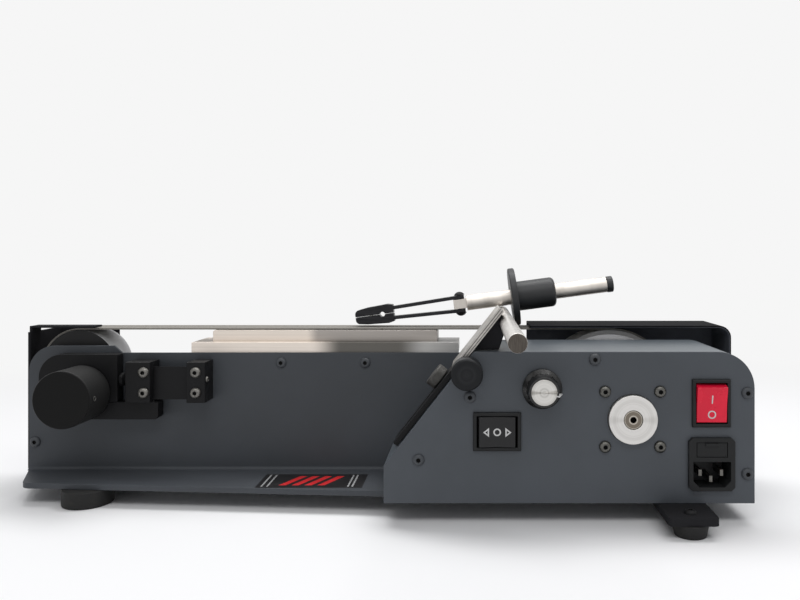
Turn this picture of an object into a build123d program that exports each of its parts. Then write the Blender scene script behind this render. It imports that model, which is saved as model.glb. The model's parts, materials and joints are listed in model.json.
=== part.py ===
from build123d import *
import os
from math import asin, atan2, cos, hypot, pi, radians, sin, tan

# A bench-top belt grinder for knives. Millimetres, X to the right, Y away from the operator, Z up.
# While it is modelled, Y = 0 is the front panel's face and Z = 0 the bench; the finished set is then moved
# so that the middle of its base is the origin.

# Sheet metal
SHEET = 2.0
GUARD_SHEET = 1.5
FOOT_HEIGHT = 13.5
BEND_RADIUS = 2.5

# Control box
BOX_LEFT = -57.9
BOX_RIGHT = 185.0
BOX_ABOVE_SHAFT = 44.0
BOX_DEPTH = 70.0
BOX_CORNER = 24.0
SLOPE_FOOT = 38.0
SLOPE_ANGLE = 51.75
FLANGE_WIDTH = 24.0

# Wall and tray
WALL_LEFT = -332.0
WALL_BELOW_BELT = 15.8
EAR_BELOW_BELT = 10.6
EAR_RIGHT = -268.0
EAR_CORNER = 19.0
EAR_SHOULDER = 6.0
TRAY_SLANT = 15.0
TRAY_LEFT_REACH = 33.0
TRAY_RIGHT_REACH = 51.0
TRAY_CORNER = 8.0
TRAY_LIP = 2.0

# Wheels, belt and platen
WHEEL_X = 105.0
WHEEL_CLEARANCE = 3.1
WHEEL_RADIUS = 50.0
TYRE = 3.0
WHEEL_RIM = 6.0
WHEEL_WEB = 8.0
WHEEL_HUB_RADIUS = 14.0
IDLER_X = -300.0
IDLER_RADIUS = 28.5
BELT_SETBACK = 10.0
BELT_WIDTH = 25.0
BELT_THICKNESS = 1.1
BELT_GAP = 0.3
WHEEL_OVERHANG = 1.0
PLATEN_LEFT = -198.0
PLATEN_RIGHT = -26.6
PLATEN_HEIGHT = 8.4
PLATEN_BASE_LEFT = -211.0
PLATEN_BASE_RIGHT = -10.0
PLATEN_BASE_HEIGHT = 8.0
PLATEN_FLANGE_DROP = 22.0
PLATEN_FLANGE = 8.0

# Guards behind the wall
HOOD_LEFT = 44.0
HOOD_RIGHT = 195.0
HOOD_ABOVE_BELT = 4.2
HOOD_CORNER = 9.0
REAR_GAP = 5.0
IDLER_GUARD_OUT = 2.0
IDLER_GUARD_BACK_DROP = 0.6
IDLER_GUARD_ABOVE_BELT = 3.8
IDLER_GUARD_RIGHT = -285.0
IDLER_GUARD_TOP_IN = 2.0
IDLER_GUARD_TOP_DEPTH = 12.0
PAN_LIP = 14.0

# Motor and shaft
SHAFT_RADIUS = 6.0
SHAFT_FIT = 0.05
MOTOR_RADIUS = 36.0
MOTOR_LENGTH = 56.0
MOTOR_WALL = 3.0
BELL_THICKNESS = 4.0
BOSS_RADIUS = 16.0
BOSS_PROUD = 3.0
BOSS_CLEARANCE = 0.3
BEARING_RADIUS = 11.0
BEARING_WIDTH = 7.0
MOTOR_SCREW_SQUARE = 36.0

# Fasteners
SCREW_RADIUS = 2.0
SCREW_HEAD_RADIUS = 4.0
SCREW_CROWN_RADIUS = 3.2
SCREW_HEAD = 2.4
SCREW_SOCKET = 1.3
SCREW_LENGTH = 8.0

TAB = 5.0
SCREW_EDGE = 5.0
TOP_SCREW_X = 80.4
SIDE_SCREW_Z = (85.7, 32.8)
FLANGE_SCREWS = [(-35.0, 42.0), (-1.3, 83.0)]
WALL_SCREW_X = (-143.0, -80.0)
WALL_SCREW_DROP = 7.0
BEARING_FRONT = -1.0
SHAFT_END = 2.5
WHEEL_WINDOWS = 5

# Controls on the front panel
SPEED_X = 45.8
SPEED_BELOW_TOP = 23.9
SPEED_SKIRT_RADIUS = 13.0
SPEED_CAP_RADIUS = 8.25
SPEED_HEIGHT = 15.0
SPEED_SKIRT_HEIGHT = 5.0
SPEED_FLUTES = 18
FLUTE_RADIUS = 1.0
GRIP_TAPER = 1.0
CAP_SHEET = 0.8
POT_SHAFT_RADIUS = 3.0
POT_RADIUS = 9.0
POT_DEPTH = 11.0
DIRECTION_X = 16.4
DIRECTION_Z = 60.6
ROCKER_LONG = 31.4
ROCKER_SHORT = 25.3
BEZEL_PROUD = 2.0
BEZEL_RIM = 2.4
ROCKER_CLEARANCE = 0.4
ROCKER_PIVOT_DEPTH = 3.0
TRUNNION_RADIUS = 1.5
TRUNNION_LENGTH = 0.9
SWITCH_DEPTH = 22.0
SWITCH_INSET = 1.6
DIRECTION_DISH = 1.0
POWER_X = 156.3
POWER_Z = 79.2
POWER_TILT = 7.0
POWER_DISH = 0.8
INLET_X = 156.3
INLET_Z = 39.5
INLET_WIDTH = 30.2
INLET_HEIGHT = 34.7
INLET_PROUD = 2.6
INLET_DEPTH = 26.0
SOCKET_WIDTH = 24.4
SOCKET_HEIGHT = 16.6
SOCKET_DEPTH = 17.0
SOCKET_DROP = 6.5
PIN_LENGTH = 14.0
FUSE_HEIGHT = 9.0
FUSE_LENGTH = 20.0
FUSE_CLEARANCE = 0.3
FUSE_LIP = 1.0
SOCKET_CORNER = 4.0
PIN_THICK = 2.0
INLET_PIN_PLACES = [(0.0, -3.5), (-7.0, 0.5), (7.0, 0.5)]

# Angle slide on the sloped side
SLIDE_LIFT = 0.5
ANGLE_PLATE_THICKNESS = 4.2
ANGLE_PLATE_LENGTH = 50.0
PLATE_ABOVE_BAR = 8.12
ANGLE_PLATE_WIDTH = 30.0
TONGUE_BELOW_TOP = 3.0
TONGUE_LENGTH = 78.0
SLOT_END_WALL = 6.2
TONGUE_THICKNESS = 3.2
TONGUE_FRONT = 6.0
TONGUE_WIDTH = 22.0
SLIDE_TRAVEL = 42.0
ANGLE_KNOB_BELOW_TOP = 12.8
ANGLE_KNOB_RADIUS = 10.3
ANGLE_KNOB_LENGTH = 14.0
PINION_TEETH = 12
PINION_MODULE = 1.0
PINION_ADDENDUM = 0.8
RACK_ADDENDUM = 0.7
PINION_DEDENDUM = 1.1
PINION_WIDTH = 5.0
PINION_SET_IN = 7.5
RACK_CLEARANCE = 1.0
PINION_TIP_WIDTH = 0.8
PINION_ROOT_WIDTH = 1.6
RACK_SPARE_GAPS = 3
RACK_GAP_MOUTH = 2.6
RACK_GAP_FLOOR = 1.5
PINION_SHAFT_RADIUS = 3.0
LOCK_BELOW_TOP = 30.5
LOCK_IN = 21.0
LOCK_RADIUS = 8.0
LOCK_HEIGHT = 7.0
LOCK_STUD_RADIUS = 2.0
LOCK_STUD_LENGTH = 8.0
LOCK_SLOT_CLEARANCE = 0.3
BAR_BEHIND_PLATE = 2.26
BAR_ABOVE_BELT = 11.8
BAR_RADIUS = 5.2
BAR_FRONT = -102.0
BAR_REAR = 105.0
BRACKET_TIP_DROP = 2.2
BRACKET_FLOOR_GAP = 0.8
BRACKET_FOOT = 17.0

# Clamp arm, drawn along its own axis from the point above the guide bar
ARM_PLANE_Y = 97.0
ARM_TILT = 7.5
ARM_REST_GAP = 0.3
TUBE_RADIUS = 6.0
TUBE_BORE = 4.6
TUBE_LEFT = -26.5
TUBE_RIGHT = 84.0
CAP_LENGTH = 5.0
CAP_RADIUS = 6.3
STOP_START = 8.4
STOP_THICKNESS = 5.0
STOP_RADIUS = 22.5
HANDLE_LENGTH = 30.0
HANDLE_RADIUS = 11.5
HANDLE_ROUND = 3.5
CLEVIS_LENGTH = 10.2
CLEVIS_HEIGHT = 7.2
CLEVIS_WIDTH = 9.0
CLEVIS_SPIGOT = 14.0
STRIP_THICKNESS = 2.6
STRIP_WIDTH = 7.0
STRIP_GAP = 0.35
STRIP_END_IN = 1.5
DOME_RADIUS = 4.2
DOME_HEIGHT = 2.6
JAW_LEFT = -114.0
JAW_RIGHT = -84.0
JAW_HALF_HEIGHT = 7.4
JAW_WIDTH = 8.0
JAW_SPLIT = 0.6
JAW_TIP_HEIGHT = 5.0
JAW_MID_HEIGHT = 6.4
JAW_NOSE = 9.0
JAW_ROUND = 3.4
JAW_STRIP_INSET = 1.2
JAW_EYE_RADIUS = 2.0
JAW_EYE_FROM_RIGHT = 9.0
CLAMP_SCREW_FROM_LEFT = 12.0
CLAMP_SCREW_RADIUS = 1.5
CLAMP_SCREW_HOLE = 2.1
CLAMP_HEAD_RADIUS = 2.8
CLAMP_HEAD_SINK = 2.4
CLAMP_HEAD_TOP = 5.0

# Tracking and tension arm in front of the wall
ARM_WALL_GAP = 0.6
ARM_THICKNESS = 9.4
LEAF = 1.0
LEAF_RISE = 3.9
LEAF_DROP = 20.1
CLAMP_BAR = 6.0
CLAMP_BAR_RISE = 7.9
CLAMP_BAR_DROP = 21.6
HINGE_LEFT = -207.5
HINGE_RIGHT = -194.0
RISER_LEFT = -252.0
RISER_RIGHT = -234.0
RAIL_LEFT = -300.0
RAIL_RIGHT = -231.0
RAIL_HEIGHT = 12.6
RAIL_DROP = 22.5
BLOCK_LEFT = -319.0
BLOCK_RIGHT = -261.0
BLOCK_RISE = 12.7
BLOCK_CORNER = 17.0
RAIL_GAP = 0.3
TENSION_TRAVEL = 5.0
SPRING_ROD_RADIUS = 3.0
SPRING_ROD_DROP = 6.1
SPRING_RADIUS = 4.9
SPRING_THICKNESS = 1.0
SPRING_COUNT = 4
SPRING_ROD_IN = 18.0
LEAF_SCREW_LENGTH = 14.0
LEAF_SCREW_INSET = 4.5
LEAF_SCREW_RISE = (-14.3, 0.5)
AXLE_RADIUS = 5.0
IDLER_BEARING_RADIUS = 13.0
IDLER_BEARING_WIDTH = 8.0
AXLE_WINDOW = 3.0
KNOB_X = -286.0
KNOB_DROP = 15.3
KNOB_RADIUS = 20.3
KNOB_LENGTH = 29.5
KNOB_ROUND = 1.2
KNOB_GAP = 0.4
KNOB_SCREW_RADIUS = 4.0

# Feet
BIG_FOOT_X = -273.0
BIG_FOOT_RADIUS = 17.0
BIG_FOOT_FRONT = 42.0
BIG_FOOT_NECK = 6.0
FOOT_REAR_INSET = 19.0
FOOT_BAR_X = 137.3
FOOT_BAR_WIDTH = 31.5
FOOT_BAR_THICKNESS = 5.0
FOOT_BAR_FRONT = -28.0
FOOT_BAR_INSET = 10.0
SMALL_FOOT_RADIUS = 11.75
SMALL_FOOT_TIP = 10.0
SMALL_FOOT_X = 137.4

# Parts inside the box
SUPPLY_LEFT = -28.0
SUPPLY_RIGHT = 52.0
SUPPLY_HEIGHT = 28.0
SUPPLY_MARGIN = 6.0
BOARD_LEFT = 6.0
BOARD_RIGHT = 62.0
BOARD_BOTTOM = 50.0
BOARD_BELOW_TOP = 8.6
BOARD_THICKNESS = 1.6
STANDOFF = 8.0
STANDOFF_RADIUS = 3.0

# Places worked out from the sizes above
BASE_Z = FOOT_HEIGHT
FLOOR_Z = FOOT_HEIGHT + SHEET
WALL_FRONT = BOX_DEPTH
WALL_BACK = WALL_FRONT + SHEET
BELT_FRONT = WALL_BACK + BELT_SETBACK
BELT_BACK = BELT_FRONT + BELT_WIDTH
WHEEL_FRONT = BELT_FRONT - WHEEL_OVERHANG
WHEEL_BACK = BELT_BACK + WHEEL_OVERHANG
REAR_INNER = WHEEL_BACK + REAR_GAP
REAR = REAR_INNER + GUARD_SHEET
WHEEL_Z = FLOOR_Z + WHEEL_CLEARANCE + WHEEL_RADIUS
BELT_INNER_Z = WHEEL_Z + WHEEL_RADIUS + BELT_GAP
IDLER_Z = BELT_INNER_Z - BELT_GAP - IDLER_RADIUS
PLATEN_TOP = BELT_INNER_Z - BELT_GAP
WALL_TOP = PLATEN_TOP - WALL_BELOW_BELT
EAR_TOP = PLATEN_TOP - EAR_BELOW_BELT
HOOD_TOP = PLATEN_TOP + HOOD_ABOVE_BELT
IDLER_GUARD_BACK_TOP = PLATEN_TOP - IDLER_GUARD_BACK_DROP
IDLER_GUARD_TOP = PLATEN_TOP + IDLER_GUARD_ABOVE_BELT
BOX_TOP = WHEEL_Z + BOX_ABOVE_SHAFT
SPEED_Z = BOX_TOP - SPEED_BELOW_TOP
BOARD_TOP = BOX_TOP - BOARD_BELOW_TOP
LEAF_TOP = IDLER_Z + LEAF_RISE
LEAF_BOTTOM = IDLER_Z - LEAF_DROP
CLAMP_BAR_TOP = IDLER_Z + CLAMP_BAR_RISE
CLAMP_BAR_BOTTOM = IDLER_Z - CLAMP_BAR_DROP
RAIL_TOP = IDLER_Z - RAIL_DROP
RAIL_BOTTOM = RAIL_TOP - RAIL_HEIGHT
BLOCK_TOP = IDLER_Z + BLOCK_RISE
SPRING_ROD_Z = IDLER_Z - SPRING_ROD_DROP
KNOB_Z = IDLER_Z - KNOB_DROP
LEAF_SCREW_Z = [IDLER_Z + rise for rise in LEAF_SCREW_RISE]
PLATEN_BOTTOM = PLATEN_TOP - PLATEN_HEIGHT
PLATEN_BASE_BOTTOM = PLATEN_BOTTOM - PLATEN_BASE_HEIGHT
WALL_SCREWS = [(x, PLATEN_BASE_BOTTOM - WALL_SCREW_DROP) for x in WALL_SCREW_X]
TAB_SCREWS = [(TOP_SCREW_X, BOX_TOP - SCREW_EDGE)] + [(BOX_RIGHT - SCREW_EDGE, z) for z in SIDE_SCREW_Z]
PANEL_SCREWS = TAB_SCREWS + FLANGE_SCREWS
GUARD_LEFT = WALL_LEFT - IDLER_GUARD_OUT
SLOPE_U = (cos(radians(SLOPE_ANGLE)), sin(radians(SLOPE_ANGLE)))
SLOPE_N = (-SLOPE_U[1], SLOPE_U[0])
SLOPE_LENGTH = (BOX_TOP - SLOPE_FOOT) / SLOPE_U[1]
ANGLE_KNOB_ALONG = SLOPE_LENGTH - ANGLE_KNOB_BELOW_TOP
LOCK_ALONG = SLOPE_LENGTH - LOCK_BELOW_TOP
SLOT_HALF = LOCK_STUD_RADIUS + LOCK_SLOT_CLEARANCE
TONGUE_END = SLOPE_LENGTH - TONGUE_BELOW_TOP
TONGUE_START = TONGUE_END - TONGUE_LENGTH
SLOT_START = TONGUE_START + SLOT_END_WALL
BAR_Z = PLATEN_TOP + BAR_ABOVE_BELT
ANGLE_PLATE_END = (BAR_Z + PLATE_ABOVE_BAR - SLOPE_FOOT) / SLOPE_U[1]
ANGLE_PLATE_START = ANGLE_PLATE_END - ANGLE_PLATE_LENGTH
BAR_X = BOX_LEFT + ANGLE_PLATE_END * SLOPE_U[0] + BAR_BEHIND_PLATE
PITCH_RADIUS = PINION_TEETH * PINION_MODULE / 2
RACK_TIP = SLIDE_LIFT
RACK_PITCH_LINE = RACK_TIP + RACK_ADDENDUM
ANGLE_KNOB_NORMAL = RACK_PITCH_LINE - PITCH_RADIUS
ARM_U = (cos(radians(ARM_TILT)), sin(radians(ARM_TILT)))
ARM_N = (-ARM_U[1], ARM_U[0])
ARM_LIFT = BAR_RADIUS + TUBE_RADIUS + ARM_REST_GAP
ARM_ORIGIN = (BAR_X + ARM_LIFT * ARM_N[0], BAR_Z + ARM_LIFT * ARM_N[1])
STRIP_SCREW_ALONG = TUBE_LEFT - CLEVIS_LENGTH / 2
ARM_FRONT = WALL_FRONT - ARM_WALL_GAP - ARM_THICKNESS
ARM_BACK = WALL_FRONT - ARM_WALL_GAP
LEAF_FRONT = ARM_FRONT - LEAF
CLAMP_FRONT = LEAF_FRONT - CLAMP_BAR


def block(x0, x1, y0, y1, z0, z1):
    """A box between two corners."""
    return Pos((x0 + x1) / 2, (y0 + y1) / 2, (z0 + z1) / 2) * Box(x1 - x0, y1 - y0, z1 - z0)


def rod_y(x, z, radius, y0, y1):
    """A round bar along Y."""
    return Pos(x, (y0 + y1) / 2, z) * Rot(90, 0, 0) * Cylinder(radius, y1 - y0)


def rod_x(y, z, radius, x0, x1):
    """A round bar along X."""
    return Pos((x0 + x1) / 2, y, z) * Rot(0, 90, 0) * Cylinder(radius, x1 - x0)


def rod_z(x, y, radius, z0, z1):
    """An upright round bar."""
    return Pos(x, y, (z0 + z1) / 2) * Cylinder(radius, z1 - z0)


def ring_y(x, z, outer, inner, y0, y1):
    """A ring whose axis runs along Y."""
    return rod_y(x, z, outer, y0, y1) - rod_y(x, z, inner, y0, y1)


def prism(sketch, y0, y1):
    """A front outline, drawn as X and Z, given its depth along Y."""
    return extrude(Plane((0, y1, 0), (1, 0, 0), (0, -1, 0)) * sketch, y1 - y0)


def outline(points):
    """A closed outline through its corners."""
    return make_face(Polyline(*points, close=True))


def turned_y(points, x, z):
    """A solid turned about an axis along Y; the points are radius and Y."""
    face = make_face(Plane.XY * Polyline(*points, close=True))
    return Pos(x, 0, z) * revolve(face, Axis.Y)


def slope_point(along, normal):
    """X and Z of a point measured along and square to the sloped side."""
    x = BOX_LEFT + along * SLOPE_U[0] + normal * SLOPE_N[0]
    z = SLOPE_FOOT + along * SLOPE_U[1] + normal * SLOPE_N[1]
    return (x, z)


def slope_bar(s0, s1, n0, n1, y0, y1):
    """A bar that lies along the sloped side."""
    corners = [slope_point(s0, n0), slope_point(s1, n0), slope_point(s1, n1), slope_point(s0, n1)]
    return prism(outline(corners), y0, y1)


def slope_rod(along, y, radius, n0, n1):
    """A round bar square to the sloped side."""
    x, z = slope_point(along, n0)
    direction = Plane((x, y, z), (SLOPE_U[0], 0, SLOPE_U[1]), (SLOPE_N[0], 0, SLOPE_N[1]))
    return extrude(direction * Circle(radius), n1 - n0)


def arm_plane(along, lift=0.0):
    """A plane square to the clamp arm, at a place along its axis."""
    x = ARM_ORIGIN[0] + along * ARM_U[0] + lift * ARM_N[0]
    z = ARM_ORIGIN[1] + along * ARM_U[1] + lift * ARM_N[1]
    return Plane((x, ARM_PLANE_Y, z), (0, 1, 0), (ARM_U[0], 0, ARM_U[1]))


def arm_point(along, lift):
    """X and Z of a point measured along and square to the clamp arm."""
    plane = arm_plane(along, lift)
    return (plane.origin.X, plane.origin.Z)


def arm_rod(a0, a1, radius):
    """A round bar on the clamp arm's axis."""
    return extrude(arm_plane(a0) * Circle(radius), a1 - a0)


def arm_bar(a0, a1, n0, n1, half_width):
    """A bar with flat sides along the clamp arm."""
    corners = [arm_point(a0, n0), arm_point(a1, n0), arm_point(a1, n1), arm_point(a0, n1)]
    return prism(outline(corners), ARM_PLANE_Y - half_width, ARM_PLANE_Y + half_width)


def arm_post(along, radius, n0, n1):
    """A round bar square to the clamp arm, in its upright plane."""
    x, z = arm_point(along, n0)
    direction = Plane((x, ARM_PLANE_Y, z), (0, 1, 0), (ARM_N[0], 0, ARM_N[1]))
    return extrude(direction * Circle(radius), n1 - n0)


def button_screw(x, z, y, length=SCREW_LENGTH):
    """A button-head screw whose head lies on a face at y and looks towards the operator."""
    crown = y - SCREW_HEAD
    head = turned_y([(0, y), (SCREW_HEAD_RADIUS, y), (SCREW_CROWN_RADIUS, crown), (0, crown)], x, z)
    socket = rod_y(x, z, SCREW_SOCKET, crown, y - SCREW_HEAD / 2)
    return head - socket + rod_y(x, z, SCREW_RADIUS, y, y + length)


def box_outline(inset):
    """The control box's front outline, drawn inset from its outer face."""
    left = BOX_LEFT + inset
    right = BOX_RIGHT - inset
    top = BOX_TOP - inset
    x0, z0 = slope_point(0, -inset)
    slope = tan(radians(SLOPE_ANGLE))
    knee = z0 + (left - x0) * slope
    shoulder = x0 + (top - z0) / slope
    face = outline([(left, BASE_Z), (right, BASE_Z), (right, top), (shoulder, top), (left, knee)])
    corner = face.vertices().sort_by_distance((right, top, 0))[0]
    return fillet(corner, BOX_CORNER - inset)


def belt_loop(extra):
    """The loop round both wheels, drawn at a distance outside their rims."""
    drive = WHEEL_RADIUS + extra
    idle = IDLER_RADIUS + extra
    span = hypot(WHEEL_X - IDLER_X, WHEEL_Z - IDLER_Z)
    ux, uz = (WHEEL_X - IDLER_X) / span, (WHEEL_Z - IDLER_Z) / span
    lean = atan2(uz, ux)
    low = 2 * lean - pi / 2
    low_dir = (cos(low), sin(low))
    drive_top = (WHEEL_X, WHEEL_Z + drive)
    idle_top = (IDLER_X, IDLER_Z + idle)
    drive_low = (WHEEL_X + drive * low_dir[0], WHEEL_Z + drive * low_dir[1])
    idle_low = (IDLER_X + idle * low_dir[0], IDLER_Z + idle * low_dir[1])
    edges = [
        Line(idle_top, drive_top),
        ThreePointArc(drive_top, (WHEEL_X + drive * ux, WHEEL_Z + drive * uz), drive_low),
        Line(drive_low, idle_low),
        ThreePointArc(idle_low, (IDLER_X - idle * ux, IDLER_Z - idle * uz), idle_top),
    ]
    return make_face(edges)


def main_chassis():
    """Tray, floor under the box and upright wall, bent from one sheet."""
    front_left = (WALL_LEFT + TRAY_SLANT, WALL_FRONT - TRAY_LEFT_REACH)
    right = BOX_RIGHT - SHEET
    plan = outline([
        (WALL_LEFT, WALL_BACK), (WALL_LEFT, WALL_FRONT), front_left,
        (BOX_LEFT, WALL_FRONT - TRAY_RIGHT_REACH), (BOX_LEFT, SHEET), (right, SHEET), (right, WALL_BACK),
    ])
    plan = fillet(plan.vertices().sort_by_distance((*front_left, 0))[0], TRAY_CORNER)
    floor = Pos(0, 0, BASE_Z) * extrude(plan, SHEET)
    lip = Pos(0, 0, BASE_Z - TRAY_LIP) * extrude(plan, TRAY_LIP)
    lip -= Pos(0, SHEET, 0) * lip
    lip &= block(WALL_LEFT, BOX_LEFT, 0, WALL_FRONT, 0, BASE_Z)
    x0, z0 = slope_point(0, -SHEET)
    slope = tan(radians(SLOPE_ANGLE))
    top = BOX_TOP - SHEET
    wall = outline([
        (WALL_LEFT, BASE_Z), (right, BASE_Z), (right, top), (x0 + (top - z0) / slope, top),
        (x0 + (WALL_TOP - z0) / slope, WALL_TOP), (EAR_RIGHT + EAR_SHOULDER, WALL_TOP),
        (EAR_RIGHT, EAR_TOP), (WALL_LEFT, EAR_TOP),
    ])
    wall = fillet(wall.vertices().sort_by_distance((right, top, 0))[0], BOX_CORNER - SHEET)
    wall = fillet(wall.vertices().sort_by_distance((WALL_LEFT, EAR_TOP, 0))[0], EAR_CORNER)
    sheet = floor + lip + prism(wall, WALL_FRONT, WALL_BACK)
    bend = block(WALL_LEFT, BOX_LEFT, WALL_FRONT - BEND_RADIUS, WALL_FRONT, FLOOR_Z, FLOOR_Z + BEND_RADIUS)
    bend -= rod_x(WALL_FRONT - BEND_RADIUS, FLOOR_Z + BEND_RADIUS, BEND_RADIUS, WALL_LEFT, BOX_LEFT)
    sheet += bend
    window = AXLE_RADIUS + AXLE_WINDOW
    sheet -= block(IDLER_X - window, IDLER_X + window + TENSION_TRAVEL, WALL_FRONT, WALL_BACK,
                   IDLER_Z - window, IDLER_Z + window)
    return sheet - rod_y(WHEEL_X, WHEEL_Z, SHAFT_RADIUS + AXLE_WINDOW, WALL_FRONT, WALL_BACK)


def belt_pan():
    """Floor behind the wall with a low rear lip."""
    floor = block(GUARD_LEFT, HOOD_RIGHT, WALL_BACK, REAR, BASE_Z, FLOOR_Z)
    return floor + block(IDLER_GUARD_RIGHT, HOOD_LEFT, REAR_INNER, REAR, FLOOR_Z, FLOOR_Z + PAN_LIP)


def control_box_shell():
    """Sloped side, top and right side of the control box, with a flange behind the panel."""
    shell = prism(box_outline(0), SHEET, WALL_FRONT) - prism(box_outline(SHEET), SHEET, WALL_FRONT)
    shell -= block(BOX_LEFT, BOX_RIGHT - SHEET, 0, WALL_FRONT, 0, FLOOR_Z)
    flange = slope_bar(0, SLOPE_LENGTH, -FLANGE_WIDTH, 0, SHEET, 2 * SHEET)
    for x, z in TAB_SCREWS:
        flange += block(x - TAB, x + TAB, SHEET, SHEET + TAB, z - TAB, z + TAB)
    shell += flange & prism(box_outline(SHEET), 0, WALL_FRONT)
    reach = PITCH_RADIUS + PINION_ADDENDUM + TAB / 2
    shell -= slope_bar(ANGLE_KNOB_ALONG - reach, ANGLE_KNOB_ALONG + reach, -2 * SHEET, SLIDE_LIFT,
                       PINION_SET_IN - SLIDE_LIFT, PINION_SET_IN + PINION_WIDTH + SLIDE_LIFT)
    x, z = slope_point(ANGLE_KNOB_ALONG, ANGLE_KNOB_NORMAL)
    shell -= rod_y(x, z, PINION_SHAFT_RADIUS + SHEET / 2, SHEET, PINION_SET_IN)
    return shell - slope_rod(LOCK_ALONG, LOCK_IN, LOCK_STUD_RADIUS + SHAFT_FIT, -2 * SHEET, SLIDE_LIFT)


def switch_cut(x, z, width, height):
    """The panel cut-out that a switch body fills."""
    half_w = width / 2 - SWITCH_INSET
    half_h = height / 2 - SWITCH_INSET
    return block(x - half_w, x + half_w, 0, SHEET, z - half_h, z + half_h)


def front_panel():
    """Face plate of the control box with its cut-outs."""
    panel = prism(box_outline(0), 0, SHEET)
    panel -= switch_cut(DIRECTION_X, DIRECTION_Z, ROCKER_LONG, ROCKER_SHORT)
    panel -= switch_cut(POWER_X, POWER_Z, ROCKER_SHORT, ROCKER_LONG)
    panel -= switch_cut(INLET_X, INLET_Z, INLET_WIDTH, INLET_HEIGHT)
    panel -= rod_y(SPEED_X, SPEED_Z, POT_SHAFT_RADIUS + SHEET / 2, 0, SHEET)
    panel -= rod_y(WHEEL_X, WHEEL_Z, BOSS_RADIUS + BOSS_CLEARANCE, 0, SHEET)
    x, z = slope_point(ANGLE_KNOB_ALONG, ANGLE_KNOB_NORMAL)
    return panel - rod_y(x, z, PINION_SHAFT_RADIUS + SHAFT_FIT, 0, SHEET)


def wheel_guard():
    """Black hood over the driven wheel: top, right end and back."""
    corners = [(HOOD_LEFT, FLOOR_Z), (HOOD_RIGHT, FLOOR_Z), (HOOD_RIGHT, HOOD_TOP), (HOOD_LEFT, HOOD_TOP)]
    outer = outline(corners)
    outer = fillet(outer.vertices().sort_by_distance((HOOD_RIGHT, HOOD_TOP, 0))[0], HOOD_CORNER)
    right = HOOD_RIGHT - GUARD_SHEET
    top = HOOD_TOP - GUARD_SHEET
    inner = outline([(HOOD_LEFT, FLOOR_Z), (right, FLOOR_Z), (right, top), (HOOD_LEFT, top)])
    inner = fillet(inner.vertices().sort_by_distance((right, top, 0))[0], HOOD_CORNER - GUARD_SHEET)
    return prism(outer, WALL_BACK, REAR) - prism(inner, WALL_BACK, REAR_INNER)


def idler_guard():
    """Black end wall and back round the idler, with a narrow lip bent over from the end wall."""
    lip_low = IDLER_GUARD_TOP - GUARD_SHEET
    lip_front = WALL_BACK + IDLER_GUARD_TOP_IN
    lip_back = lip_front + IDLER_GUARD_TOP_DEPTH
    end = block(GUARD_LEFT, WALL_LEFT, WALL_BACK, REAR, FLOOR_Z, IDLER_GUARD_BACK_TOP)
    end += block(GUARD_LEFT, WALL_LEFT, lip_front, lip_back, FLOOR_Z, IDLER_GUARD_TOP)
    back = block(GUARD_LEFT, IDLER_GUARD_RIGHT, REAR_INNER, REAR, FLOOR_Z, IDLER_GUARD_BACK_TOP)
    lip = block(GUARD_LEFT, IDLER_GUARD_RIGHT, lip_front, lip_back, lip_low, IDLER_GUARD_TOP)
    return end + back + lip


def platen_base():
    """Steel angle bolted to the back of the wall."""
    ledge = block(PLATEN_BASE_LEFT, PLATEN_BASE_RIGHT, WALL_BACK, BELT_BACK,
                  PLATEN_BASE_BOTTOM, PLATEN_BOTTOM)
    flange = block(PLATEN_BASE_LEFT, PLATEN_BASE_RIGHT, WALL_BACK, WALL_BACK + PLATEN_FLANGE,
                   PLATEN_BASE_BOTTOM - PLATEN_FLANGE_DROP, PLATEN_BASE_BOTTOM)
    return ledge + flange


def platen():
    """Ground steel bar that backs the belt."""
    bar = block(PLATEN_LEFT, PLATEN_RIGHT, WHEEL_FRONT, WHEEL_BACK, PLATEN_BOTTOM, PLATEN_TOP)
    ends = bar.edges().filter_by(Axis.Y).group_by(Axis.Z)[-1]
    return chamfer(ends, BELT_THICKNESS)


def abrasive_belt():
    """Endless belt round both wheels and over the platen."""
    return prism(belt_loop(BELT_GAP + BELT_THICKNESS) - belt_loop(BELT_GAP), BELT_FRONT, BELT_BACK)


def motor_front_bell():
    """Motor end plate with the turned boss that shows through the panel."""
    plate = rod_y(WHEEL_X, WHEEL_Z, MOTOR_RADIUS, SHEET, SHEET + BELL_THICKNESS)
    boss = rod_y(WHEEL_X, WHEEL_Z, BOSS_RADIUS, -BOSS_PROUD, SHEET)
    boss = chamfer(boss.edges().group_by(Axis.Y)[0], BOSS_CLEARANCE)
    bearing = rod_y(WHEEL_X, WHEEL_Z, BEARING_RADIUS, BEARING_FRONT, SHEET + BELL_THICKNESS)
    mouth = rod_y(WHEEL_X, WHEEL_Z, SHAFT_RADIUS + BOSS_CLEARANCE, -BOSS_PROUD, SHEET)
    return plate + boss - bearing - mouth


def motor_can():
    """Motor housing with a bearing seat in its rear wall."""
    front = SHEET + BELL_THICKNESS
    back = front + MOTOR_LENGTH
    can = rod_y(WHEEL_X, WHEEL_Z, MOTOR_RADIUS, front, back)
    can -= rod_y(WHEEL_X, WHEEL_Z, MOTOR_RADIUS - MOTOR_WALL, front, back - MOTOR_WALL)
    seat = back - MOTOR_WALL - BEARING_WIDTH
    can += ring_y(WHEEL_X, WHEEL_Z, BEARING_RADIUS + MOTOR_WALL, BEARING_RADIUS, seat, back - MOTOR_WALL)
    return can - rod_y(WHEEL_X, WHEEL_Z, SHAFT_RADIUS + BOSS_CLEARANCE, back - MOTOR_WALL, back)


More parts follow.
